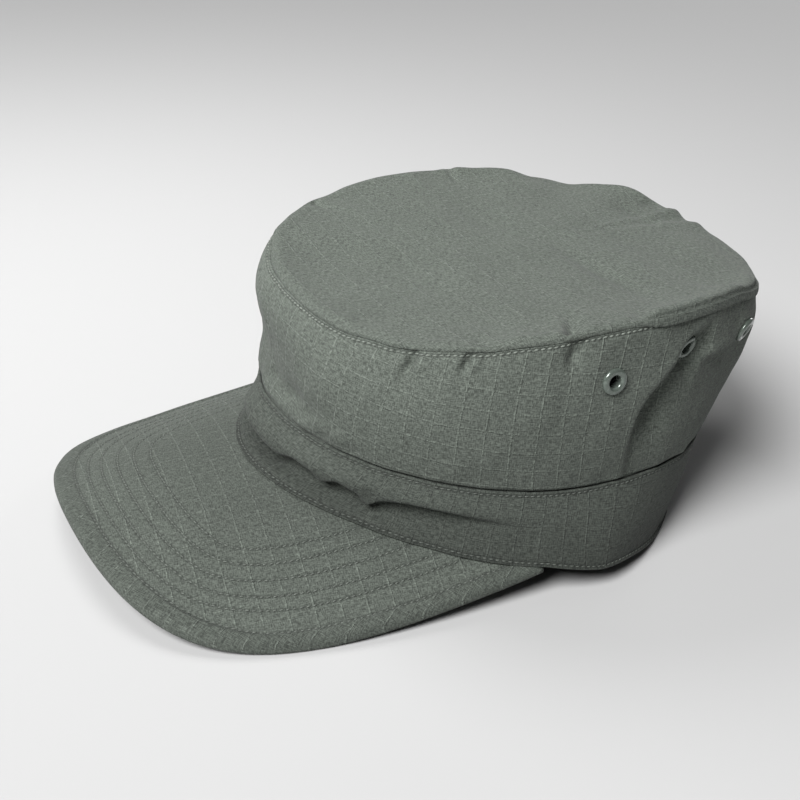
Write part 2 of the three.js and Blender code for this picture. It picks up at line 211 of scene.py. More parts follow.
# Creases run along a path of (angle, level) points. Above the path the cloth rises, under it it drops,
# across a sharp step; both die away over their reach, and the ends fade over some degrees.
Crease = namedtuple("Crease", "name path rise drop sharp reach_up reach_down fade_start fade_end")
BAND_CREASES = (
    Crease(
        "front crease",
        (
            (-112, 0.52), (-106, 0.5), (-97, 0.47), (-90, 0.43), (-80, 0.4), (-74, 0.53), (-67, 0.5),
            (-64, 0.35), (-60, 0.53), (-54, 0.47), (-51, 0.27), (-48.5, 0.48), (-43, 0.57), (-34, 0.6),
            (-14, 0.53),
        ),
        1.4, 4.3, 0.7, 6, 12, 6, 26,
    ),
    Crease("front crease, far end", ((-116, 0.53), (-97, 0.46), (-78, 0.39)), 0.9, 2.6, 0.8, 5, 7, 6, 6),
    Crease("right crease", ((206, 0.55), (222, 0.44), (236, 0.52), (250, 0.42)), 0.9, 1.8, 1, 6, 8, 10, 10),
    Crease("back crease", ((70, 0.6), (92, 0.5), (118, 0.58)), 0.5, 1, 1.6, 6, 9, 16, 16),
)
WALL_CREASES = (
    Crease(
        "left diagonal ridge",
        ((4, 0.42), (7, 0.51), (10, 0.6), (13, 0.695), (15.2, 0.76), (18.2, 0.832), (24, 0.94)),
        1.4, 6.6, 4.2, 9, 24, 3.6, 6,
    ),
    Crease(
        "left back ridge",
        ((17, 0.69), (22, 0.695), (32.7, 0.71), (40.7, 0.755), (54, 0.74)),
        1.7, 3.2, 1.8, 5, 20, 10, 16,
    ),
    Crease(
        "right diagonal ridge",
        ((124, 0.66), (142, 0.78), (158, 0.72), (168, 0.6), (176, 0.48)),
        0.6, 2.4, 2.6, 7, 20, 18, 6,
    ),
    Crease("back slump", ((66, 0.16), (92, 0.24), (118, 0.16)), 0.4, 1.2, 1.6, 6, 8, 14, 14),
)

# Vent eyelets: angle and level of the three on the wearer's left; the right's are mirrored
Eyelet = namedtuple("Eyelet", "name angle level")
EYELETS = (Eyelet("front", -1.5, 0.705), Eyelet("middle", 18.2, 0.762), Eyelet("back", 38.5, 0.785))
EYELET_CALM = (4.4, 0.11)
CALM_PROBE = 0.7
EYELET_CUT = 3.4
CUT_DEPTH = 12
CUT_SIDES = 24

# An eyelet's rings: the flange in front, the barrel and the rolled back, as radii, height and place along it
Ring = namedtuple("Ring", "outer inner tall lift")
EYELET_RINGS = (Ring(5.2, 2.4, 2.2, 0.4), Ring(2.95, 2.4, 3.2, -0.7), Ring(4.4, 2.4, 0.9, -2.1))

# Rows of stitching: the peak's hem lies this far in at its sides and its front, the others all round
HEM_SIDE = 5.3
HEM_FRONT = 8.2
HEM_TURN = (125, 160)
PEAK_ROWS = (13.6, 18.8, 25.2, 31.8, 38.5)
CROWN_STITCH = 1.3
BAND_STITCH = 1.5
HEM_STITCH = 1.5

# How finely the pieces are cut up, and how their rows are spaced
ROUND_STEPS = 768
ROW_STEPS = 1400
OUTLINE_POINTS = 801
RIM_POINTS = 721
ARC_POINTS = 1441
WALL_STEPS = 62
BAND_STEPS = 60
TOP_STEPS = 56
INSIDE_STEPS = 24
ROLL_STEPS = 5
PEAK_LONG_STEPS = 380
PEAK_CROSS_STEPS = 118
TOP_SPACING = 1.4
PEAK_SPACING = 0.9
EASE = 0.55
TUCK_LEVELS = (-1, -0.6, -0.2)

# The photograph's camera, in the part's frame
CAMERA_AZIMUTH = 61.228
CAMERA_ELEVATION = 28.238
CAMERA_ROLL = 3.004
CAMERA_PLACE = (0.4277, -0.2398, 0.3016)
CAMERA_LENS = 61.04

# The stage: lamps that look at one point, the floor, and the backdrop that the camera sees behind it
Lamp = namedtuple("Lamp", "name place size power")
LAMPS = (
    Lamp("key light", (1.12, -2.19, 2.65), 1.9, "key_power"),
    Lamp("fill light", (-0.36, -0.12, 0.58), 0.4, "fill_power"),
    Lamp("back light", (-1.5, 2.1, 0.55), 1.0, "back_power"),
)
LIT_POINT = (0, 0, 0.05)
FLOOR_SIZE = 5
BACKDROP = 0.6

# Small gathers beside the seams: how many round the cap, their size, their reach and the seed
Gathers = namedtuple("Gathers", "count size reach seed")
BAND_TOP_GATHERS = Gathers(60, 0.4, 5, 11)
BAND_HEM_GATHERS = Gathers(74, 0.3, 4, 12)
WALL_TOP_GATHERS = Gathers(76, 0.45, 6, 21)
WALL_FOOT_GATHERS = Gathers(58, 0.5, 6, 22)
TOP_GATHERS = Gathers(88, 0.55, 8, 31)
GATHER_START = 3

# Soft unevenness of the cloth: its depth, its cells round the cap or their width, their height and the seed
Uneven = namedtuple("Uneven", "depth across up seed")
BAND_UNEVEN = Uneven(0.3, 64, 9, 13)
WALL_UNEVEN = Uneven(0.45, 64, 13, 23)
WALL_UNEVEN_START = 3
WALL_FINE_UNEVEN = Uneven(0.2, 128, 6, 24)
TOP_UNEVEN = Uneven(0.85, 24, 17, 32)
TOP_FINE_UNEVEN = Uneven(0.28, 9, 8, 33)
PEAK_UNEVEN = Uneven(0.25, 24, 19, 41)

# Small things of the cloth, in millimetres or as counts and shares: gathers, grooves, rolled edges, the hem
SEAM_GATHERS = 46
SEAM_GATHER_OUT = 0.45
SEAM_GATHER_LIFT = 0.4
GROOVE_DEPTH = 0.3
GROOVE_WIDTH = 0.7
HEM_GROOVE = 1.6
HEM_ROLL = 0.9
HEM_ROLL_WIDE = 0.9
HEM_CALM = 7
HEM_PUFF = 0.5
HEM_STEP = 0.4
HEM_STEP_AT = 1.3
HEM_STEP_WIDE = 0.7
HEM_DIP = 0.25
HEM_DIP_WIDE = 0.7
ROW_DIP = 0.22
ROW_DIP_WIDE = 0.8
CREASE_BLUR = 0.8
PINCH_START = 1.5
TOP_RIDGE = 0.3
TOP_RIDGE_AT = 3.2
TOP_RIDGE_WIDE = 2.2
WALL_COMES_OUT = 0.022
WALL_BULGE = 0.35
BAND_BULGE = 0.5
BAND_FOOT_BULGE = 0.6
PEAK_BULGE = 1.3
STITCH_SLANT = 0.14
STITCH_BEND = 0.3
STITCH_ROUND = 0.8
STITCH_LIFT = 0.5
HEM_HIDES = 0.8
ROW_SLACK = 0.2

# Turns of the cloth's grain on the peak, in its hem and on the wall, in degrees
PEAK_GRAIN = 8
HEM_GRAIN = 55
WALL_GRAIN = 0.8

# The lip of the crown's top, which laps the wall's upper edge: how far out of the seam and how far down
TOP_LIP = (
    (-0.8, 0.0), (-0.5, 0.06), (-0.2, 0.22), (0.04, 0.55),
    (0.18, 1.05), (0.2, 1.5), (0.1, 1.85), (-0.15, 1.95),
)
LIP_HANG_OUT = 0.8
LIP_HANG_DOWN = 0.7

# The lip and the peak's swelling come in over one part in so many of the way across
LIP_PART = 8
PUFF_PART = 8

# Each cloth: its tint, the tone of its ripstop lines, the shade at its foot as a reach in metres and a tone,
# and its tones in the rows of stitching and in the hem. The tints make lit and shaded copies of one cloth;
# the band's and the peak's darker tints are painted shade. The foot's tone is painted shade on the wall and
# the band, darker towards their feet, and painted light on the peak, lighter towards its front edge. The
# darker rows are painted shade in their grooves, and the peak's darker hem is painted shade where it turns
# down.
Cloth = namedtuple("Cloth", "name tint line_tone foot sewn hem")
TOP_CLOTH = Cloth("Crown top cloth", 0.98, 1.28, None, None, None)
WALL_CLOTH = Cloth("Crown wall cloth", 1.03, 1.5, (0.05, 0.85), 0.7, None)
BAND_CLOTH = Cloth("Band cloth", 0.61, 1.25, (0.02, 0.74), 0.7, None)
PEAK_CLOTH = Cloth("Peak cloth", 0.69, 1.6, (0.055, 1.22), 0.74, 0.87)

# The cloth's pattern and its painted shade, in metres: edges of a strong thread, of a row's painted shade,
# of the painted tone at the foot and of the hem's painted shade
STRONG_THREAD = (0.0001, 0.00052)
ROW_SHADE = (0.00025, 0.0011)
FOOT_START = 0.002
HEM_EDGE = (-0.0008, 0.0002)

# Each thread: its tint, and its thickness against the usual one. The band's and the peak's threads are
# tinted darker as painted shade.
Thread = namedtuple("Thread", "name tint size")
CROWN_THREAD = Thread("Crown thread", 0.95, 1.2)
BAND_THREAD = Thread("Band thread", 0.42, 1)
PEAK_THREAD = Thread("Peak thread", 0.56, 1)

# What a noise is turned into: the range that it is read over, and the tones or values at both ends
Spread = namedtuple("Spread", "low high start end")
WEAVE_TONES = Spread(0.36, 0.64, 0.55, 1.45)
CLOTH_TONES = Spread(0.25, 0.75, 0.95, 1.05)
TWIST_TONES = Spread(0.3, 0.7, 0.75, 1.2)
WEAR_TONES = Spread(0.45, 0.75, 0.9, 1.25)
PAINT_ROUGHNESS = Spread(0.3, 0.7, 0.14, 0.26)

# Scales of the noises, and how the ripstop lines and the weave's threads are drawn
FINE_SCALE = 900
CLOTH_TONE_SCALE = 38
WEAR_SCALE = 700
PAINT_SCALE = 400
UPRIGHT_LINES = 0.95
LEVEL_LINES = 0.65
FAINTEST_LINE = 0.25
LINE_PATCHES = (0.36, 0.62)
LEVEL_THREADS = (0.2, 1.3)
UPRIGHT_THREADS = (1.3, 0.26)
LINE_BUMP = 1.2


# Plain surfaces of the cap, as functions of arrays of angles (radians) and levels

def smooth(value):
    """A soft step from 0 to 1."""
    value = np.clip(value, 0, 1)
    return value * value * (3 - 2 * value)


def bell(value):
    """A soft hump: 1 in its middle, and nearly 0 from 2 on."""
    return np.exp(-(value ** 2))


def turn(start, end):
    """The smallest turn from one angle to another, in degrees."""
    return (end - start + 180) % 360 - 180


def unit(vectors):
    return vectors / np.linalg.norm(vectors, axis=-1, keepdims=True)


def row_point(row, angle):
    """A point of a row's oval, with the row's height there."""
    across = np.cos(angle)
    along = np.sin(angle)
    front = along < 0
    power = 2 / np.where(front, row.front_square, row.back_square)
    reach = np.abs(along) ** power
    narrow = np.where(front, 1 - row.taper * reach ** HEIGHT_CURVE, 1)
    end_height = np.where(front, row.front_height, row.back_height)
    x = row.half_width * np.sign(across) * np.abs(across) ** power * narrow
    y = row.centre + np.where(front, -row.front, row.back) * reach
    z = row.side_height + (end_height - row.side_height) * reach ** HEIGHT_CURVE
    return np.stack([x, y, z], axis=-1)


def outward(point, row):
    """The level direction from a row's centre to a point."""
    out = point - np.array([0, row.centre, 0])
    out[..., 2] = 0
    return unit(out)


def ripple(angle, count, seed):
    """Seeded soft noise round the cap, from -1 to 1, that closes on itself after count steps."""
    values = np.random.default_rng(seed).uniform(-1, 1, count)
    place = np.mod(angle / TAU, 1) * count
    low = np.floor(place).astype(int)
    share = smooth(place - low)
    return values[low % count] * (1 - share) + values[(low + 1) % count] * share


def rumple(across, up, seed):
    """Seeded soft noise over a plane, from -1 to 1, one cell to each unit."""
    cells = 64
    values = np.random.default_rng(seed).uniform(-1, 1, (cells, cells))
    column = np.floor(across).astype(int)
    line = np.floor(up).astype(int)
    share_across = smooth(across - column)
    share_up = smooth(up - line)
    near = values[column % cells, line % cells] * (1 - share_across)
    near += values[(column + 1) % cells, line % cells] * share_across
    far = values[column % cells, (line + 1) % cells] * (1 - share_across)
    far += values[(column + 1) % cells, (line + 1) % cells] * share_across
    return near * (1 - share_up) + far * share_up


def seam_point(angle):
    """The crown seam: its row's oval with the seam's waves and small gathers."""
    point = row_point(CROWN_SEAM, angle)
    out = outward(point, CROWN_SEAM)
    for wave in SEAM_WAVES:
        share = bell(turn(wave.angle, np.degrees(angle)) / wave.wide)
        point += out * (wave.out * share)[..., None]
        point[..., 2] += wave.lift * share
    gather = ripple(angle, SEAM_GATHERS, 5)
    point += out * (SEAM_GATHER_OUT * gather)[..., None]
    point[..., 2] += SEAM_GATHER_LIFT * ripple(angle, SEAM_GATHERS, 6)
    return point


ATTACH = row_point(RIM, np.array(math.radians(PEAK_ANGLE)))


def peak_height(x, y):
    """The top face of the peak, which the band's front edge follows."""
    return PEAK_HEIGHT - PEAK_SLOPE * (ATTACH[1] - y) - PEAK_ARCH * (x * x - ATTACH[0] ** 2)


def under_height(x, y):
    """How high the band's lower edge stands: on the peak in front, then down to the surface behind."""
    on_peak = peak_height(x, np.minimum(y, ATTACH[1])) + PEAK_GAP
    return on_peak * (1 - smooth((y - ATTACH[1]) / (FLAT_FROM - ATTACH[1])))


def rim_point(angle):
    point = row_point(RIM, angle)
    point[..., 2] = under_height(point[..., 0], point[..., 1])
    return point


def plain_band(angle, level):
    level = np.asarray(level)[..., None]
    return rim_point(angle) * (1 - level) + row_point(BAND_TOP, angle) * level


def plain_wall(angle, level):
    level = np.asarray(level)[..., None]
    foot = row_point(BAND_TOP, angle) * ((1 - level) * (1 - 2 * level))
    middle = row_point(WALL_MIDDLE, angle) * (4 * level * (1 - level))
    return foot + middle + seam_point(angle) * (level * (2 * level - 1))


def normal_of(surface, angle, level):
    """The outward normal of a surface."""
    step = 0.002
    along = surface(angle + step, level) - surface(angle - step, level)
    up = surface(angle, level + step) - surface(angle, level - step)
    return unit(np.cross(along, up))


def height_of(surface, angle):
    return np.linalg.norm(surface(angle, np.ones_like(angle)) - surface(angle, np.zeros_like(angle)), axis=-1)


# How far folds, creases and gathers push the cloth outwards

def fold_depth(folds, angle, level):
    degrees = np.degrees(angle)
    depth = np.zeros_like(degrees + level)
    for fold in folds:
        across = turn(fold.angle + fold.lean * (level - fold.level), degrees) / fold.wide
        up = (level - fold.level) / fold.tall
        depth += fold.depth * np.exp(-across * across - up * up)
    return depth


def crease_depth(creases, angle, level, height):
    degrees = np.degrees(angle)
    depth = np.zeros_like(degrees + level)
    for crease in creases:
        stops = np.array([stop[0] for stop in crease.path])
        levels = np.array([stop[1] for stop in crease.path])
        middle = (stops[0] + stops[-1]) / 2
        along = middle + turn(middle, degrees)
        path = sum(np.interp(along + blur, stops, levels) for blur in (-CREASE_BLUR, 0, CREASE_BLUR)) / 3
        above = (level - path) * height
        share = smooth((along - stops[0]) / crease.fade_start) * smooth((stops[-1] - along) / crease.fade_end)
        side = 0.5 + 0.5 * np.tanh(above / crease.sharp)
        rise = crease.rise * bell(np.maximum(above, 0) / crease.reach_up)
        drop = crease.drop * bell(np.minimum(above, 0) / crease.reach_down)
        depth += share * (side * rise - (1 - side) * drop)
    return depth


def gathers(angle, gap, kind):
    """Small gathers beside a seam: the stitching holds them flat, and they die away from it."""
    fade = np.exp(-np.maximum(gap, 0) / kind.reach)
    return kind.size * ripple(angle, kind.count, kind.seed) * fade * smooth(gap / GATHER_START)


def uneven(kind, across, up):
    return kind.depth * rumple(across, up, kind.seed)


def groove(gap, line):
    """The dip that a row of stitching pulls into the cloth."""
    return -GROOVE_DEPTH * bell((gap - line) / GROOVE_WIDTH)


def band_depth(angle, level):
    height = height_of(plain_band, angle)
    top_gap = (1 - level) * height
    hem_gap = level * height
    depth = fold_depth(BAND_FOLDS, angle, level)
    depth += crease_depth(BAND_CREASES, angle, level, height) * smooth(hem_gap / HEM_CALM)
    depth += gathers(angle, top_gap, BAND_TOP_GATHERS) + gathers(angle, hem_gap, BAND_HEM_GATHERS)
    depth += uneven(BAND_UNEVEN, angle / TAU * BAND_UNEVEN.across, hem_gap / BAND_UNEVEN.up)
    depth += groove(top_gap, BAND_STITCH) + HEM_GROOVE * groove(hem_gap, HEM_STITCH)
    return depth + HEM_ROLL * bell((hem_gap - HEM_STITCH / 2) / HEM_ROLL_WIDE)


def loose_wall_depth(angle, level):
    height = height_of(plain_wall, angle)
    seam_gap = (1 - level) * height
    foot_gap = level * height
    depth = fold_depth(WALL_FOLDS, angle, level) + crease_depth(WALL_CREASES, angle, level, height)
    depth += gathers(angle, seam_gap, WALL_TOP_GATHERS) + gathers(angle, foot_gap, WALL_FOOT_GATHERS)
    for kind, start in ((WALL_UNEVEN, WALL_UNEVEN_START), (WALL_FINE_UNEVEN, 0)):
        depth += uneven(kind, angle / TAU * kind.across, foot_gap / kind.up + start)
    return depth


def eyelet_planes():
    """Where each eyelet sits, and the even slope of the cloth there."""
    planes = []
    for eyelet in EYELETS:
        for centre in (eyelet.angle, 180 - eyelet.angle):
            angles = np.radians(centre + EYELET_CALM[0] * np.array([0, -CALM_PROBE, CALM_PROBE, 0, 0]))
            levels = eyelet.level + EYELET_CALM[1] * np.array([0, 0, 0, -CALM_PROBE, CALM_PROBE])
            seat, left, right, low, high = loose_wall_depth(angles, levels)
            run = 2 * CALM_PROBE
            planes.append((centre, eyelet.level, seat, (right - left) / run, (high - low) / run))
    return planes


PLANES = eyelet_planes()


def wall_depth(angle, level):
    """The wall's folds. A metal eyelet holds the cloth round it flat, so it keeps one slope there."""
    depth = loose_wall_depth(angle, level)
    for centre, middle, seat, slope_across, slope_up in PLANES:
        across = turn(centre, np.degrees(angle)) / EYELET_CALM[0]
        up = (level - middle) / EYELET_CALM[1]
        held = np.exp(-((across * across + up * up) ** 2))
        depth = depth + (seat + slope_across * across + slope_up * up - depth) * held
    return depth + groove((1 - level) * height_of(plain_wall, angle), CROWN_STITCH)


def wall_inset(level):
    """The wall's foot is tucked in behind the band, and comes out over its first few millimetres."""
    tucked = BAND_TOP_CLOTH + SEAM_GAP
    return WALL_STEP * (1 - level) + (tucked - WALL_STEP) * (1 - smooth(level / WALL_COMES_OUT))


def band_face(angle, level, inset=0.0):
    depth = band_depth(angle, level) - inset
    return plain_band(angle, level) + normal_of(plain_band, angle, level) * depth[..., None]


def wall_face(angle, level, inset=0.0):
    """The wall at levels from 0 to 1; from -1 to 0 it is the part tucked behind the band."""
    up = np.clip(level, 0, 1)
    out = wall_depth(angle, up) * smooth(up / WALL_COMES_OUT) - wall_inset(up) - inset
    shown = plain_wall(angle, level.clip(0, 2)) + normal_of(plain_wall, angle, up) * out[..., None]
    low = 1 + TUCK * np.minimum(level, 0)
    hidden = band_face(angle, low, BAND_TOP_CLOTH + SEAM_GAP + inset)
    share = smooth(up / WALL_COMES_OUT)[..., None]
    return hidden * (1 - share) + shown * share


def roll_share(roll, degrees):
    along = turn(roll.start, degrees) % 360
    return smooth(along / roll.sharp_start) * smooth((roll.end - roll.start - along) / roll.sharp_end)


def roll_rise(angle, gap, reach):
    """How high the rolls of the top's edge stand, at a gap from its seam."""
    rise = 0
    for roll in TOP_ROLLS:
        rise = rise + roll.height * roll_share(roll, np.degrees(angle))
    return rise * (1 - np.exp(-gap / ROLL_STEEP)) * bell(gap / reach)


def seam_distance(angle, radius):
    return (1 - radius) * np.linalg.norm(seam_point(angle)[..., :2] - np.array(TOP_CENTRE[:2]), axis=-1)


def top_face(angle, radius):
    """The crown's top: radius 0 is its middle and 1 its seam."""
    edge = seam_point(angle)
    share = radius[..., None]
    point = np.array(TOP_CENTRE) * (1 - share) + edge * share
    lip = edge[..., 2] + SEAM_GAP + sizes().cloth_thickness / MM
    point[..., 2] = TOP_CENTRE[2] + (lip - TOP_CENTRE[2]) * radius ** TOP_CURVE
    inner = 1 - radius ** TOP_FREE
    for rise in TOP_RISES:
        across = (point[..., 0] - rise.x) / rise.wide
        along = (point[..., 1] - rise.y) / rise.long
        point[..., 2] += rise.depth * inner * np.exp(-across * across - along * along)
    gap = seam_distance(angle, radius)
    point[..., 2] += roll_rise(angle, gap, ROLL_REACH)
    hang = roll_share(TOP_ROLLS[0], np.degrees(angle)) * bell((gap - ROLL_OUT_AT) / ROLL_OUT_WIDE) * ROLL_OUT
    point += outward(edge, CROWN_SEAM) * hang[..., None]
    for pinch in TOP_PINCHES:
        run = np.array([pinch.to_x - pinch.x, pinch.to_y - pinch.y])
        offset = point[..., :2] - np.array([pinch.x, pinch.y])
        along = (offset @ run) / (run @ run)
        across = (offset[..., 0] * run[1] - offset[..., 1] * run[0]) / np.linalg.norm(run)
        fades = bell(across / pinch.wide) * smooth(1 - along) * smooth(gap / PINCH_START)
        point[..., 2] += pinch.depth * fades
    point[..., 2] += gathers(angle, gap, TOP_GATHERS)
    point[..., 2] += TOP_RIDGE * bell((gap - TOP_RIDGE_AT) / TOP_RIDGE_WIDE)
    x, y = point[..., 0], point[..., 1]
    swell = sum(uneven(kind, x / kind.across, y / kind.up) for kind in (TOP_UNEVEN, TOP_FINE_UNEVEN))
    point[..., 2] += inner * swell
    return point


# The peak's outline and what lies inside it

def bezier(points, share):
    share = share[..., None]
    rest = 1 - share
    a, b, c, d = points
    return a * rest ** 3 + b * 3 * rest ** 2 * share + c * 3 * rest * share ** 2 + d * share ** 3


def peak_outline(share):
    """The outline at shares from -1, the wearer's right end, to 1, the left end."""
    splay = math.radians(PEAK_SPLAY)
    pull = ATTACH[:2] + PEAK_SIDE_PULL * np.array([math.sin(splay), -math.cos(splay)])
    corners = [ATTACH[:2], pull, np.array([PEAK_CORNER, -PEAK_REACH]), np.array([0, -PEAK_REACH])]
    point = bezier(corners, 1 - np.abs(share))
    point[..., 0] *= np.where(share < 0, -1, 1)
    return point


OUTLINE = peak_outline(np.linspace(-1, 1, OUTLINE_POINTS))


def inset_of(place):
    """How far in from the outline a place on the peak is."""
    gaps = [np.hypot(*(OUTLINE - point).T).min() for point in place.reshape(-1, 2)]
    return np.array(gaps).reshape(place.shape[:-1])


def hem_inset(y):
    """How far in the hem's stitching lies: less at the sides than in front."""
    near, far = HEM_TURN
    return HEM_SIDE + (HEM_FRONT - HEM_SIDE) * smooth((-y - near) / (far - near))


def peak_puff(place, inset):
    """The cloth swells between its rows of stitching, and more in the hem."""
    hem = hem_inset(place[..., 1])
    puff = np.where(inset < hem, HEM_PUFF * np.sqrt(np.clip(4 * inset * (hem - inset), 0, None)) / hem, 0)
    puff = puff - HEM_DIP * bell((inset - hem) / HEM_DIP_WIDE)
    puff = puff + HEM_STEP * smooth((hem + HEM_STEP_AT - inset) / HEM_STEP_WIDE)
    for line in PEAK_ROWS:
        puff = puff - ROW_DIP * bell((inset - line) / ROW_DIP_WIDE)
    return puff + uneven(PEAK_UNEVEN, place[..., 0] / PEAK_UNEVEN.across, place[..., 1] / PEAK_UNEVEN.up)


def peak_point(place, drop):
    return np.stack([place[..., 0], place[..., 1], peak_height(place[..., 0], place[..., 1]) - drop], axis=-1)


# Making meshes

def sizes():
    return bpy.context.scene.cap_sizes


def looks():
    return bpy.context.scene.cap_looks


def clear_selection():
    if bpy.context.object and bpy.context.object.mode != "OBJECT":
        bpy.ops.object.mode_set(mode="OBJECT")
    bpy.ops.object.select_all(action="DESELECT")


def grid_piece(name, columns, rows, place):
    """Adds a grid, moves each vertex to its place and lays the faces' UVs out in real sizes.

    place takes the share round and the number of the row. It gives points, cloth places and gaps
    from up to two rows of stitching. From these the cloth's material paints shade along the rows and towards
    the feet, and on the peak painted light towards its front edge and painted shade in its hem."""
    clear_selection()
    bpy.ops.mesh.primitive_grid_add(x_subdivisions=columns, y_subdivisions=rows, size=1)
    piece = bpy.context.object
    piece.name = name
    piece.data.name = name
    mesh = piece.data
    flat = np.empty(len(mesh.vertices) * 3)
    mesh.vertices.foreach_get("co", flat)
    start = flat.reshape(-1, 3)
    points, cloth, gaps = place(start[:, 0] + 0.5, np.rint((start[:, 1] + 0.5) * rows).astype(int))
    mesh.vertices.foreach_set("co", ((points + SHIFT) * MM).ravel())
    corners = np.empty(len(mesh.loops), dtype=np.int32)
    mesh.loops.foreach_get("vertex_index", corners)
    mesh.uv_layers.active.data.foreach_set("uv", (cloth[corners] * MM).ravel())
    for attribute, gap in zip(("upper_row", "lower_row"), gaps):
        mesh.attributes.new(attribute, "FLOAT", "POINT").data.foreach_set("value", gap * MM)
    mesh.update()
    weld(piece)
    return piece


def weld(piece):
    """Closes the seams, turns the faces outwards and smooths them."""
    bpy.ops.object.mode_set(mode="EDIT")
    bpy.ops.mesh.select_all(action="SELECT")
    bpy.ops.mesh.remove_doubles(threshold=1e-6)
    bpy.ops.mesh.select_all(action="DESELECT")
    bpy.ops.mesh.select_non_manifold(
        extend=False, use_wire=False, use_multi_face=False, use_non_contiguous=False,
    )
    bpy.ops.mesh.fill_holes(sides=0)
    bpy.ops.mesh.select_all(action="SELECT")
    bpy.ops.mesh.normals_make_consistent(inside=False)
    bpy.ops.object.mode_set(mode="OBJECT")
    bpy.ops.object.shade_smooth()


def finish_piece(piece, material, slot, *nodes):
    piece.data.materials.clear()
    piece.data.materials.append(material)
    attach(piece, "root")
    if nodes:
        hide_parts(*nodes)


def rolled_edge(thickness, bulge, way):
    """(shift, inset) round the edge of a cloth, from its outer face to its inner one."""
    turns = np.linspace(0, math.pi, ROLL_STEPS + 1)
    return [(way * bulge * (math.sin(t) - 1), thickness / 2 * (1 - math.cos(t))) for t in turns]


def eased(count):
    """Shares from 0 to 1 that lie closer together near both ends."""
    share = np.linspace(0, 1, count + 1)
    return (1 - EASE) * share + EASE * (0.5 - 0.5 * np.cos(math.pi * share))


def closed_profile(outside, thickness_at, top_bulge, foot_bulge, foot=0.0):
    """Rows of (level, shift, inset) up the outer face, over the top edge, down the inner face and back."""
    rows = [(foot + (1 - foot) * s, foot_bulge * (1 - s) - top_bulge * s, 0.0) for s in eased(outside)]
    rows += [(1, shift, inset) for shift, inset in rolled_edge(thickness_at(1), top_bulge, 1)[1:]]
    for s in eased(INSIDE_STEPS)[1:]:
        level = 1 - (1 - foot) * s
        rows.append((level, -top_bulge * (1 - s) + foot_bulge * s, thickness_at(level)))
    back = rolled_edge(thickness_at(foot), foot_bulge, -1)[::-1]
    return np.array(rows + [(foot, shift, inset) for shift, inset in back[1:]])


def arc_lengths(row):
    """The length along a row from the back, where the cloth's ends meet."""
    angles = np.linspace(TAU / 4, TAU * 1.25, ARC_POINTS)
    steps = np.linalg.norm(np.diff(row_point(row, angles), axis=0), axis=1)
    lengths = np.concatenate(([0], np.cumsum(steps)))
    return lambda angle: np.interp(angle, angles, lengths)


def band_cloth(level):
    return BAND_HEM_CLOTH + (BAND_TOP_CLOTH - BAND_HEM_CLOTH) * min(1, level * 2)


def wrapped(face, plain, row, profile, upper, lower, grain=0):
    """Places for grid_piece: a profile carried round the cap.

    upper and lower are the gaps of its stitching from its edges, and grain turns its cloth, in degrees."""
    length_at = arc_lengths(row)
    cosine, sine = math.cos(math.radians(grain)), math.sin(math.radians(grain))

    def place(share, line):
        angle = TAU / 4 + TAU * share
        height = height_of(plain, angle)
        level = profile[line, 0] + profile[line, 1] / height
        points = face(angle, level, profile[line, 2])
        length, rise = length_at(angle), level * height
        cloth = np.stack([length * cosine - rise * sine, length * sine + rise * cosine], axis=-1)
        return points, cloth, ((1 - level) * height - upper, level * height - lower)

    return place


def stitch_shape():
    """One stitch: a small ball drawn out and bent down at both ends. It is modelled once and copied."""
    clear_selection()
    bpy.ops.mesh.primitive_uv_sphere_add(segments=6, ring_count=5, radius=1)
    bpy.ops.transform.rotate(value=math.pi / 2, orient_axis="Y", center_override=(0, 0, 0))
    ball = bpy.context.object
    bpy.ops.object.transform_apply(rotation=True)
    points = np.array([vertex.co for vertex in ball.data.vertices])
    faces = [tuple(face.vertices) for face in ball.data.polygons]
    mesh = ball.data
    bpy.data.objects.remove(ball)
    bpy.data.meshes.remove(mesh)
    return points, faces


def stitches(name, rows, thread, slot):
    """Rows of stitches along paths: each row is its points, its normals and whether it closes on itself."""
    ball, ball_faces = stitch_shape()
    pitch = sizes().stitch_pitch / MM
    half = sizes().stitch_length / MM / 2
    wide = sizes().thread_width / MM / 2 * thread.size
    points, faces = [], []
    for path, normals, closed in rows:
        if closed:
            path = np.vstack([path, path[:1]])
            normals = np.vstack([normals, normals[:1]])
        run = np.concatenate(([0], np.cumsum(np.linalg.norm(np.diff(path, axis=0), axis=1))))
        count = int(run[-1] // pitch)

        def along(values, where):
            return np.array([np.interp(where, run, values[:, axis]) for axis in range(3)])

        for number in range(count):
            middle = (number + 0.5) * run[-1] / count
            way = along(path, min(middle + half, run[-1])) - along(path, max(middle - half, 0))
            way /= np.linalg.norm(way)
            up = along(normals, middle)
            up -= way * np.dot(up, way)
            up /= np.linalg.norm(up)
            side = np.cross(up, way)
            slant = way + side * STITCH_SLANT
            shape = ball[:, :1] * half * slant + ball[:, 1:2] * wide * side
            rise = ball[:, 2:] * wide * STITCH_ROUND + wide * STITCH_LIFT - STITCH_BEND * ball[:, :1] ** 2
            first = len(points) * len(ball)
            points.append(along(path, middle) + shape + rise * up)
            faces += [tuple(first + corner for corner in face) for face in ball_faces]
    mesh = bpy.data.meshes.new(name)
    mesh.from_pydata(((np.vstack(points) + SHIFT) * MM).tolist(), [], faces)
    mesh.shade_smooth()
    piece = bpy.data.objects.new(name, mesh)
    bpy.context.collection.objects.link(piece)
    finish_piece(piece, thread_material(thread), slot)


def level_row(face, plain, gap_from_foot=None, gap_from_top=None):
    """A row of stitching all round, at one gap from the foot or the top of a face."""
    angle = np.linspace(TAU / 4, TAU * 1.25, ROW_STEPS, endpoint=False)
    height = height_of(plain, angle)
    level = gap_from_foot / height if gap_from_foot is not None else 1 - gap_from_top / height
    return face(angle, level), normal_of(plain, angle, level), True


# Materials

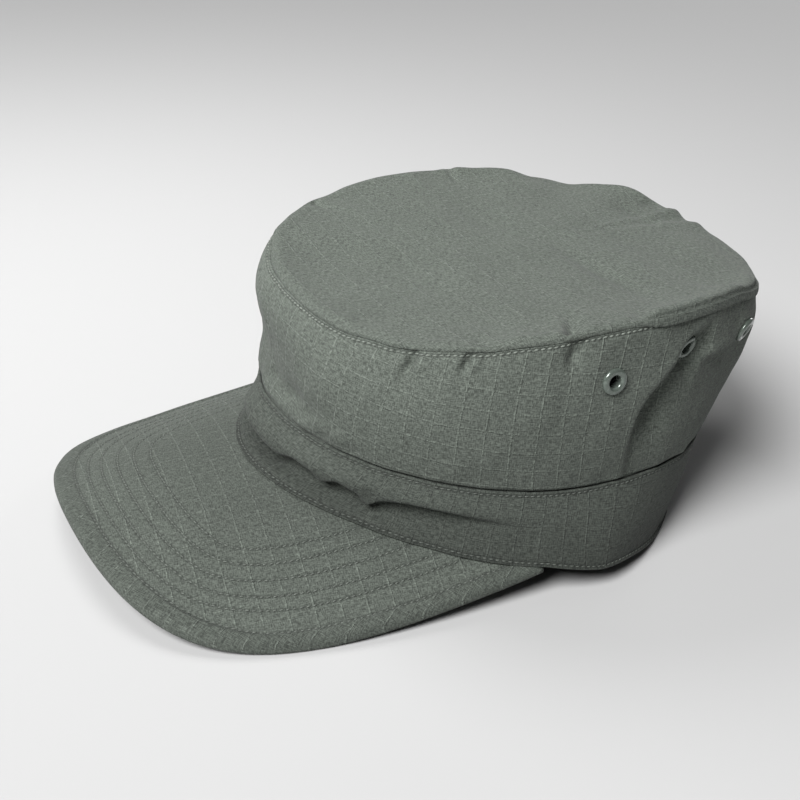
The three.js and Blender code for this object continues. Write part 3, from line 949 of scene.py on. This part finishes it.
def add_node(tree, kind, inputs=None, **settings):
    made = tree.nodes.new(kind)
    for name, value in settings.items():
        setattr(made, name, value)
    for socket, value in (inputs or {}).items():
        if isinstance(value, bpy.types.NodeSocket):
            tree.links.new(value, made.inputs[socket])
        else:
            made.inputs[socket].default_value = value
    return made


def maths(tree, operation, *values):
    return add_node(tree, "ShaderNodeMath", dict(enumerate(values)), operation=operation).outputs[0]


def soft_range(tree, value, low, high, start, end):
    inputs = {"Value": value, "From Min": low, "From Max": high, "To Min": start, "To Max": end}
    return add_node(tree, "ShaderNodeMapRange", inputs, interpolation_type="SMOOTHSTEP").outputs[0]


def noise(tree, vector, scale, detail=2.0):
    inputs = {"Vector": vector, "Scale": scale, "Detail": detail}
    return add_node(tree, "ShaderNodeTexNoise", inputs).outputs["Fac"]


def stretched(tree, vector, across, up):
    inputs = {0: vector, 1: (across, up, 1)}
    return add_node(tree, "ShaderNodeVectorMath", inputs, operation="MULTIPLY").outputs[0]


def product(tree, value, *others):
    for other in others:
        value = maths(tree, "MULTIPLY", value, other)
    return value


def gap_from_row(tree, name):
    """The mesh attribute that says how far a place is from a row of stitching."""
    return add_node(tree, "ShaderNodeAttribute", attribute_name=name).outputs["Fac"]


def tinted(colour, tint):
    return tuple(channel * tint for channel in colour)


def new_material(name):
    """A new material, its node tree and its shader."""
    material = bpy.data.materials.new(name)
    material.use_nodes = True
    return material, material.node_tree, material.node_tree.nodes["Principled BSDF"]


def cloth_group():
    """Ripstop cloth: the stronger threads of its grid, its weave and its uneven tone."""
    name = "Ripstop cloth"
    if name in bpy.data.node_groups:
        return bpy.data.node_groups[name]
    tree = bpy.data.node_groups.new(name, "ShaderNodeTree")
    for socket in ("Cell Across", "Cell Up", "Thread"):
        tree.interface.new_socket(socket, in_out="INPUT", socket_type="NodeSocketFloat")
    tree.interface.new_socket("Place", in_out="INPUT", socket_type="NodeSocketVector")
    for socket in ("Lines", "Weave", "Tone"):
        tree.interface.new_socket(socket, in_out="OUTPUT", socket_type="NodeSocketFloat")
    given = tree.nodes.new("NodeGroupInput")
    result = tree.nodes.new("NodeGroupOutput")
    place = given.outputs["Place"]
    parts = add_node(tree, "ShaderNodeSeparateXYZ", {0: place})
    masks = []
    for axis, cell, strength in (("X", "Cell Across", UPRIGHT_LINES), ("Y", "Cell Up", LEVEL_LINES)):
        turns = maths(tree, "DIVIDE", parts.outputs[axis], given.outputs[cell])
        off = maths(tree, "ABSOLUTE", maths(tree, "SUBTRACT", turns, maths(tree, "ROUND", turns)))
        gap = maths(tree, "MULTIPLY", off, given.outputs[cell])
        mask = soft_range(tree, gap, *STRONG_THREAD, 1.0, 0.0)
        patches = noise(tree, place, FINE_SCALE)
        patchy = soft_range(tree, patches, *LINE_PATCHES, FAINTEST_LINE * strength, strength)
        masks.append(maths(tree, "MULTIPLY", mask, patchy))
    lines = maths(tree, "MAXIMUM", *masks)
    scale = maths(tree, "DIVIDE", 1.0, given.outputs["Thread"])
    along = noise(tree, stretched(tree, place, *LEVEL_THREADS), scale, 1.0)
    upright = noise(tree, stretched(tree, place, *UPRIGHT_THREADS), scale, 1.0)
    weave = maths(tree, "MULTIPLY", maths(tree, "ADD", along, upright), 0.5)
    tone = noise(tree, place, CLOTH_TONE_SCALE, 3.0)
    for socket, value in (("Lines", lines), ("Weave", weave), ("Tone", tone)):
        tree.links.new(value, result.inputs[socket])
    return tree


def shaded(tree, colour, factor):
    """A colour made lighter or darker by a factor."""
    made = add_node(tree, "ShaderNodeVectorMath", {0: colour, "Scale": factor}, operation="SCALE")
    return made.outputs[0]


def sewn_mask(tree, rows):
    """1 on the rows of stitching, where the cloth is pulled into shade, and 0 away from them.

    rows pairs the name of a mesh attribute with the gaps that it has at the rows, in metres."""
    nearest = None
    for attribute, gaps in rows:
        read = gap_from_row(tree, attribute)
        for gap in gaps:
            off = maths(tree, "ABSOLUTE", maths(tree, "SUBTRACT", read, gap))
            nearest = off if nearest is None else maths(tree, "MINIMUM", nearest, off)
    return soft_range(tree, nearest, *ROW_SHADE, 1.0, 0.0)


def cloth_material(look, rows=()):
    """A piece's cloth. rows are its rows of stitching, as sewn_mask takes them."""
    material, tree, shader = new_material(look.name)
    place = tree.nodes.new("ShaderNodeUVMap")
    place.uv_map = "UVMap"
    inputs = {
        "Cell Across": sizes().cell_across, "Cell Up": sizes().cell_up, "Thread": sizes().thread_size,
        "Place": place.outputs[0],
    }
    cloth = add_node(tree, "ShaderNodeGroup", inputs, node_tree=cloth_group()).outputs
    tones = [
        soft_range(tree, cloth["Weave"], *WEAVE_TONES),
        soft_range(tree, cloth["Tone"], *CLOTH_TONES),
        soft_range(tree, cloth["Lines"], 0.0, 1.0, 1.0, look.line_tone),
    ]
    # Painted light and shade: the rows are darker as painted shade, the wall and the band darker towards
    # their feet as painted shade, the peak lighter towards its front edge as painted light and darker in its
    # hem as painted shade, and the band's and the peak's tints darker as painted shade.
    if rows:
        tones.append(soft_range(tree, sewn_mask(tree, rows), 0.0, 1.0, 1.0, look.sewn))
    if look.foot:
        tones.append(soft_range(tree, gap_from_row(tree, "lower_row"), FOOT_START, *look.foot, 1.0))
    if look.hem:
        tones.append(soft_range(tree, gap_from_row(tree, "lower_row"), *HEM_EDGE, look.hem, 1.0))
    shade = shaded(tree, tinted(looks().cloth_colour, look.tint), product(tree, *tones))
    height = maths(tree, "ADD", cloth["Weave"], maths(tree, "MULTIPLY", cloth["Lines"], LINE_BUMP))
    bump = add_node(tree, "ShaderNodeBump", {"Height": height, "Strength": 0.7, "Distance": 0.0004})
    tree.links.new(shade, shader.inputs["Base Color"])
    tree.links.new(bump.outputs[0], shader.inputs["Normal"])
    shader.inputs["Roughness"].default_value = 0.88
    shader.inputs["Sheen Weight"].default_value = 0.06
    shader.inputs["Sheen Roughness"].default_value = 0.5
    shader.inputs["Specular IOR Level"].default_value = 0.25
    return material


def thread_material(thread):
    material, tree, shader = new_material(thread.name)
    place = tree.nodes.new("ShaderNodeTexCoord").outputs["Object"]
    twist = soft_range(tree, noise(tree, place, FINE_SCALE, 1.0), *TWIST_TONES)
    # The band's and the peak's threads are tinted darker as painted shade.
    shade = shaded(tree, tinted(looks().thread_colour, thread.tint), twist)
    tree.links.new(shade, shader.inputs["Base Color"])
    shader.inputs["Roughness"].default_value = 0.6
    return material


def eyelet_material():
    material, tree, shader = new_material("Eyelet paint")
    place = tree.nodes.new("ShaderNodeTexCoord").outputs["Object"]
    wear = soft_range(tree, noise(tree, place, WEAR_SCALE, 3.0), *WEAR_TONES)
    tree.links.new(shaded(tree, tuple(looks().eyelet_colour), wear), shader.inputs["Base Color"])
    rough = soft_range(tree, noise(tree, place, PAINT_SCALE), *PAINT_ROUGHNESS)
    tree.links.new(rough, shader.inputs["Roughness"])
    shader.inputs["Metallic"].default_value = 0.35
    shader.inputs["Coat Weight"].default_value = 0.5
    shader.inputs["Coat Roughness"].default_value = 0.12
    return material


def floor_material():
    material, tree, shader = new_material("Pale floor")
    shader.inputs["Base Color"].default_value = (*looks().floor_colour, 1)
    shader.inputs["Roughness"].default_value = 0.9
    return material


# What a user would change

def length(name, about, value):
    """A length in metres, shown finely enough for cloth."""
    return FloatProperty(name=name, description=about, default=value, unit="LENGTH", precision=5)


def colour(name, about, value):
    return FloatVectorProperty(name=name, description=about, subtype="COLOR", default=value, min=0, max=1)


def light(name, about, value):
    return FloatProperty(name=name, description=about, default=value, min=0)


class CapSizes(bpy.types.PropertyGroup):
    """Sizes of the cap's cloth and stitching."""

    cloth_thickness: length("Cloth thickness", "Wall of the crown", 0.0015)
    peak_thickness: length("Peak thickness", "Stiff core with its cloth", 0.0028)
    stitch_pitch: length("Stitch pitch", "From one stitch to the next", 0.0024)
    stitch_length: length("Stitch length", "The part of a stitch that shows", 0.0019)
    thread_width: length("Thread width", "Width of the sewing thread", 0.00065)
    cell_across: length("Grid across", "Between upright ripstop lines", 0.0095)
    cell_up: length("Grid up", "Between level ripstop lines", 0.0078)
    thread_size: length("Weave size", "Size of the weave's grain", 0.00045)


class CapLooks(bpy.types.PropertyGroup):
    """Colours of the cap and its stage, and the strength of its lights."""

    cloth_colour: colour("Cloth", "Grey-green cloth", (0.095, 0.108, 0.093))
    thread_colour: colour("Thread", "Sewing thread", (0.175, 0.195, 0.17))
    eyelet_colour: colour("Eyelets", "Painted metal", (0.125, 0.15, 0.13))
    floor_colour: colour("Floor", "Plain pale floor", (0.5, 0.5, 0.5))
    key_power: light("Key light", "Watts of the main light", 218)
    fill_power: light("Fill light", "Watts of the second light", 2.4)
    back_power: light("Back light", "Watts of the light behind", 11)
    room_strength: light("Room light", "Light from all round", 0.06)


# One operator for each piece or group of like pieces

class CAP_OT_crown_top(bpy.types.Operator):
    """Add the crown's oval top panel"""

    bl_idname = "cap.crown_top"
    bl_label = "Crown top"
    bl_options = {"REGISTER", "UNDO"}

    def execute(self, context):
        thickness = sizes().cloth_thickness / MM
        spaced = 1 - (1 - np.linspace(0, 1, TOP_STEPS + 1)) ** TOP_SPACING
        rows = [(s, TOP_LIP[0][0], 0.0) for s in spaced]
        rows += [(1.0, out, drop) for out, drop in TOP_LIP]
        rows += [(s, TOP_LIP[-1][0] * s, thickness) for s in np.linspace(1, 0, INSIDE_STEPS + 1)]
        profile = np.array(rows)

        def place(share, line):
            angle = TAU / 4 + TAU * share
            radius = profile[line, 0]
            points = top_face(angle, radius)
            out = outward(seam_point(angle), CROWN_SEAM)
            drop = profile[line, 2]
            on_lip = (line > TOP_STEPS) & (line <= TOP_STEPS + len(TOP_LIP))
            hang = roll_share(TOP_ROLLS[0], np.degrees(angle)) * on_lip
            shift = profile[line, 1] + hang * (LIP_HANG_OUT - np.minimum(profile[line, 1], 0))
            points += out * (shift * smooth(radius * LIP_PART - (LIP_PART - 1)))[..., None]
            points[..., 2] -= drop * (1 + LIP_HANG_DOWN * hang)
            rise = roll_rise(angle, seam_distance(angle, radius), ROLL_CLOTH_REACH)
            along_cloth = np.where(radius < 1, -rise, drop)
            cloth = points[..., :2] + out[..., :2] * along_cloth[..., None]
            return points, cloth[..., ::-1], ()

        piece = grid_piece("crown_top_cloth", ROUND_STEPS, len(profile) - 1, place)
        finish_piece(piece, cloth_material(TOP_CLOTH), "crown_cloth", "crown_top")
        return {"FINISHED"}


class CAP_OT_crown_side(bpy.types.Operator):
    """Add the crown's wall, with its holes for the eyelets"""

    bl_idname = "cap.crown_side"
    bl_label = "Crown wall"
    bl_options = {"REGISTER", "UNDO"}

    def execute(self, context):
        thickness = sizes().cloth_thickness / MM
        up = [(level, 0.0, 0.0) for level in TUCK_LEVELS]
        up += [(s, -WALL_BULGE * s, 0.0) for s in eased(WALL_STEPS)]
        over = [(1, shift, inset) for shift, inset in rolled_edge(thickness, WALL_BULGE, 1)[1:]]
        down = [(1 - s, -WALL_BULGE * (1 - s), thickness) for s in eased(INSIDE_STEPS)[1:]]
        down += [(level, 0.0, thickness) for level in TUCK_LEVELS[::-1]]
        profile = np.array(up + over + down + up[:1])
        piece = grid_piece(
            "crown_side_cloth", ROUND_STEPS, len(profile) - 1,
            wrapped(wall_face, plain_wall, WALL_MIDDLE, profile, CROWN_STITCH, 0, WALL_GRAIN),
        )
        self.cut_holes(piece)
        cloth = cloth_material(WALL_CLOTH, (("upper_row", (0,)),))
        finish_piece(piece, cloth, "crown_cloth", "crown_side")
        return {"FINISHED"}

    def cut_holes(self, piece):
        """Cuts the cloth away under the eyelets' flanges."""
        for name, seat, normal in eyelet_seats():
            clear_selection()
            bpy.ops.mesh.primitive_cylinder_add(
                vertices=CUT_SIDES, radius=EYELET_CUT * MM, depth=CUT_DEPTH * MM,
            )
            bar = bpy.context.object
            bar.matrix_world = standing(seat, normal)
            cut = piece.modifiers.new(f"hole for {name}", "BOOLEAN")
            cut.operation = "DIFFERENCE"
            cut.solver = "MANIFOLD"
            cut.object = bar
            bpy.context.view_layer.objects.active = piece
            bpy.ops.object.modifier_apply(modifier=cut.name)
            bpy.data.objects.remove(bar)


class CAP_OT_band(bpy.types.Operator):
    """Add the headband, with its crease and its hem"""

    bl_idname = "cap.band"
    bl_label = "Band"
    bl_options = {"REGISTER", "UNDO"}

    def execute(self, context):
        profile = closed_profile(BAND_STEPS, band_cloth, BAND_BULGE, BAND_FOOT_BULGE)
        wrap = wrapped(band_face, plain_band, RIM, profile, BAND_STITCH, HEM_STITCH)

        def place(share, line):
            points, cloth, gaps = wrap(share, line)
            lowest = under_height(points[..., 0], points[..., 1])
            points[..., 2] = np.maximum(points[..., 2], lowest)
            return points, cloth, gaps

        piece = grid_piece("band_cloth", ROUND_STEPS, len(profile) - 1, place)
        cloth = cloth_material(BAND_CLOTH, (("upper_row", (0,)), ("lower_row", (0,))))
        finish_piece(piece, cloth, "band_cloth", "band")
        return {"FINISHED"}


class CAP_OT_peak(bpy.types.Operator):
    """Add the stiff peak, swollen between its rows of stitching"""

    bl_idname = "cap.peak"
    bl_label = "Peak"
    bl_options = {"REGISTER", "UNDO"}

    def execute(self, context):
        thickness = sizes().peak_thickness / MM
        rows = [(s, 0.0, 0.0, 1) for s in np.linspace(0, 1, PEAK_CROSS_STEPS + 1) ** PEAK_SPACING]
        edge = rolled_edge(thickness, PEAK_BULGE, 1)
        rows += [(1, PEAK_BULGE + shift, inset, 0) for shift, inset in edge[1:]]
        rows += [(s, 0.0, thickness, 0) for s in np.linspace(1, 0, INSIDE_STEPS + 1)[1:]]
        rows.append(rows[0])
        profile = np.array(rows)

        def place(share, line):
            share = 2 * share - 1
            outer = peak_outline(share)
            rim = rim_point(np.radians(-90 + (90 + PEAK_ANGLE) * share))[..., :2]
            inner = rim - unit(rim - np.array([0, ATTACH[1]])) * PEAK_UNDER_BAND
            across = outer - inner
            length = np.linalg.norm(across, axis=-1)
            distance = (length - PEAK_BULGE) * profile[line, 0] + profile[line, 1]
            spot = inner + across * (distance / length)[..., None]
            inset = inset_of(spot)
            puff = peak_puff(spot, inset) * profile[line, 3] * smooth(profile[line, 0] * PUFF_PART)
            points = peak_point(spot, profile[line, 2] - puff)
            over = np.where(profile[line, 0] < 1, 0, profile[line, 2] + profile[line, 1] - PEAK_BULGE)
            cloth = self.grain(spot + unit(across) * over[..., None], inset)
            return points, cloth, (inset, inset - hem_inset(spot[..., 1]))

        piece = grid_piece("peak_cloth", PEAK_LONG_STEPS, len(profile) - 1, place)
        rows = [line * MM for line in PEAK_ROWS]
        cloth = cloth_material(PEAK_CLOTH, (("upper_row", rows), ("lower_row", (0,))))
        finish_piece(piece, cloth, "peak_cloth", "peak")
        return {"FINISHED"}

    def grain(self, spot, inset):
        """Where each place lies on the peak's cloth, and on the hem's slanting strip."""
        curved = spot.copy()
        curved[..., 0] *= 1 + (2 * PEAK_ARCH * spot[..., 0]) ** 2 / 6
        turns = np.where(inset < hem_inset(spot[..., 1]), HEM_GRAIN, PEAK_GRAIN)
        turns = np.radians(turns)
        x = curved[..., 0] * np.cos(turns) - curved[..., 1] * np.sin(turns)
        y = curved[..., 0] * np.sin(turns) + curved[..., 1] * np.cos(turns)
        return np.stack([y, x], axis=-1)


def standing(place, normal):
    """Stands a thing at a place, with its Z axis along a direction."""
    return Matrix.Translation(place) @ normal.to_track_quat("Z", "Y").to_matrix().to_4x4()


def eyelet_seats():
    """Name, place and direction of each eyelet, in the frame."""
    seats = []
    for side, sign in (("left", 1), ("right", -1)):
        for eyelet in EYELETS:
            turned = math.radians(eyelet.angle)
            angle = np.array(turned if sign > 0 else math.pi - turned)
            level = np.array(eyelet.level)
            place = (wall_face(angle, level) + SHIFT) * MM
            normal = normal_of(wall_face, angle, level)
            seats.append((f"eyelet_{side}_{eyelet.name}", Vector(place), Vector(normal)))
    return seats


class CAP_OT_eyelets(bpy.types.Operator):
    """Add the six painted vent eyelets"""

    bl_idname = "cap.eyelets"
    bl_label = "Vent eyelets"
    bl_options = {"REGISTER", "UNDO"}

    def execute(self, context):
        first = self.model()
        material = eyelet_material()
        for name, place, normal in eyelet_seats():
            copy = first.copy()
            copy.data = first.data.copy()
            copy.name = f"{name}_metal"
            context.collection.objects.link(copy)
            copy.matrix_world = standing(place, normal)
            clear_selection()
            copy.select_set(True)
            context.view_layer.objects.active = copy
            bpy.ops.object.transform_apply(location=True, rotation=True, scale=True)
            bpy.ops.object.shade_smooth()
            finish_piece(copy, material, "eyelet_metal", name)
        bpy.data.objects.remove(first)
        return {"FINISHED"}

    def ring(self, size):
        """A rounded ring: a torus drawn to its height."""
        clear_selection()
        wide = size.outer - size.inner
        bpy.ops.mesh.primitive_torus_add(
            major_radius=(size.outer + size.inner) / 2 * MM, minor_radius=wide / 2 * MM,
            major_segments=48, minor_segments=16,
        )
        made = bpy.context.object
        bpy.ops.object.mode_set(mode="EDIT")
        bpy.ops.mesh.select_all(action="SELECT")
        bpy.ops.transform.resize(value=(1, 1, size.tall / wide))
        bpy.ops.transform.translate(value=(0, 0, size.lift * MM))
        bpy.ops.object.mode_set(mode="OBJECT")
        return made

    def model(self):
        """One eyelet, facing up, joined from its rings."""
        parts = [self.ring(size) for size in EYELET_RINGS]
        clear_selection()
        for part in parts:
            part.select_set(True)
        bpy.context.view_layer.objects.active = parts[0]
        bpy.ops.object.join()
        return parts[0]


class CAP_OT_stitching(bpy.types.Operator):
    """Add the rows of stitching on the crown, the band and the peak"""

    bl_idname = "cap.stitching"
    bl_label = "Stitching"
    bl_options = {"REGISTER", "UNDO"}

    def execute(self, context):
        crown = level_row(wall_face, plain_wall, gap_from_top=CROWN_STITCH)
        stitches("crown_stitching", [crown], CROWN_THREAD, "crown_cloth")
        top = level_row(band_face, plain_band, gap_from_top=BAND_STITCH)
        hem = level_row(band_face, plain_band, gap_from_foot=HEM_STITCH)
        stitches("band_stitching", [top, hem], BAND_THREAD, "band_cloth")
        rows = [self.peak_row(hem_inset)]
        rows += [self.peak_row(lambda y, line=line: np.full_like(y, line)) for line in PEAK_ROWS]
        stitches("peak_stitching", rows, PEAK_THREAD, "peak_cloth")
        return {"FINISHED"}

    def peak_row(self, inset_at):
        """A row inside the peak's outline, as far as it shows in front of the band."""
        way = np.gradient(OUTLINE, axis=0)
        inward = unit(np.stack([-way[:, 1], way[:, 0]], axis=-1))
        if inward[len(inward) // 2, 1] < 0:
            inward = -inward
        wanted = inset_at(OUTLINE[:, 1])
        spots = OUTLINE + inward * wanted[:, None]
        real = inset_of(spots) > wanted - ROW_SLACK
        rim = rim_point(np.linspace(-TAU / 2, 0, RIM_POINTS))[:, :2]
        clear = np.array([self.is_clear(spot, rim) for spot in spots])
        spots = spots[real & clear]
        puff = peak_puff(spots, inset_of(spots))
        points = peak_point(spots, -puff)
        slope = np.stack([2 * PEAK_ARCH * spots[:, 0], np.full(len(spots), -PEAK_SLOPE)], axis=-1)
        normals = unit(np.column_stack([slope, np.ones(len(spots))]))
        return points, normals, False

    def is_clear(self, spot, rim):
        """Whether a spot lies outside the rim by more than the hem hides."""
        nearest = rim[np.argmin(np.hypot(*(rim - spot).T))]
        return np.linalg.norm(spot) > np.linalg.norm(nearest) + HEM_HIDES


class CAP_OT_stage(bpy.types.Operator):
    """Add the floor, the lights and the camera"""

    bl_idname = "cap.stage"
    bl_label = "Floor, lights and camera"
    bl_options = {"REGISTER", "UNDO"}

    def execute(self, context):
        clear_selection()
        bpy.ops.mesh.primitive_plane_add(size=FLOOR_SIZE)
        floor = context.object
        floor.name = "floor"
        floor.data.materials.append(floor_material())
        context.scene.world = self.room()
        context.scene.view_settings.view_transform = "Standard"
        for lamp in LAMPS:
            self.light(lamp)
        self.camera(context)
        return {"FINISHED"}

    def room(self):
        """A dim even light from all round, which the camera sees as a pale backdrop."""
        world = bpy.data.worlds.new("Studio")
        world.use_nodes = True
        tree = world.node_tree
        seen = add_node(tree, "ShaderNodeLightPath").outputs["Is Camera Ray"]
        inputs = {"Factor": seen, "A": looks().room_strength, "B": BACKDROP}
        strength = add_node(tree, "ShaderNodeMix", inputs)
        tree.nodes["Background"].inputs["Color"].default_value = (1, 1, 1, 1)
        tree.links.new(strength.outputs[0], tree.nodes["Background"].inputs["Strength"])
        return world

    def light(self, wanted):
        clear_selection()
        bpy.ops.object.light_add(type="AREA", location=wanted.place)
        lamp = bpy.context.object
        lamp.name = wanted.name
        lamp.data.shape = "DISK"
        lamp.data.size = wanted.size
        lamp.data.energy = getattr(looks(), wanted.power)
        lamp.visible_camera = False
        way = Vector(LIT_POINT) - Vector(wanted.place)
        lamp.rotation_euler = way.to_track_quat("-Z", "Y").to_euler()

    def camera(self, context):
        """Sets the camera where the photograph's stood, with the photograph's roll."""
        azimuth = math.radians(CAMERA_AZIMUTH)
        elevation = math.radians(CAMERA_ELEVATION)
        roll = math.radians(CAMERA_ROLL)
        level = math.cos(elevation)
        back = Vector((math.sin(azimuth) * level, -math.cos(azimuth) * level, math.sin(elevation)))
        right = Vector((math.cos(azimuth), math.sin(azimuth), 0))
        up = back.cross(right)
        turned_right = right * math.cos(roll) + up * math.sin(roll)
        turned_up = -right * math.sin(roll) + up * math.cos(roll)
        turned = Matrix((turned_right, turned_up, back)).transposed().to_4x4()
        bpy.ops.object.camera_add()
        camera = context.object
        camera.name = "camera"
        camera.data.lens = CAMERA_LENS
        camera.data.sensor_width = 36
        camera.matrix_world = Matrix.Translation(CAMERA_PLACE) @ turned
        context.scene.camera = camera


OPERATORS = (
    CAP_OT_crown_top,
    CAP_OT_crown_side,
    CAP_OT_band,
    CAP_OT_peak,
    CAP_OT_eyelets,
    CAP_OT_stitching,
    CAP_OT_stage,
)


class CAP_PT_panel(bpy.types.Panel):
    """Buttons for the cap's pieces, and the sizes and colours they use."""

    bl_idname = "CAP_PT_panel"
    bl_label = "Field cap"
    bl_space_type = "VIEW_3D"
    bl_region_type = "UI"
    bl_category = "Cap"

    def draw(self, context):
        column = self.layout.column(align=True)
        for operator in OPERATORS:
            column.operator(operator.bl_idname)
        for group in (context.scene.cap_sizes, context.scene.cap_looks):
            box = self.layout.box()
            for name in group.__annotations__:
                box.prop(group, name)


CLASSES = (CapSizes, CapLooks, *OPERATORS, CAP_PT_panel)


def register():
    for made in CLASSES:
        bpy.utils.register_class(made)
    bpy.types.Scene.cap_sizes = PointerProperty(type=CapSizes)
    bpy.types.Scene.cap_looks = PointerProperty(type=CapLooks)


def unregister():
    del bpy.types.Scene.cap_looks
    del bpy.types.Scene.cap_sizes
    for made in reversed(CLASSES):
        bpy.utils.unregister_class(made)


def main():
    register()
    bpy.ops.cap.crown_top()
    bpy.ops.cap.crown_side()
    bpy.ops.cap.band()
    bpy.ops.cap.peak()
    bpy.ops.cap.eyelets()
    bpy.ops.cap.stitching()
    bpy.ops.cap.stage()


if __name__ == "__main__":
    main()
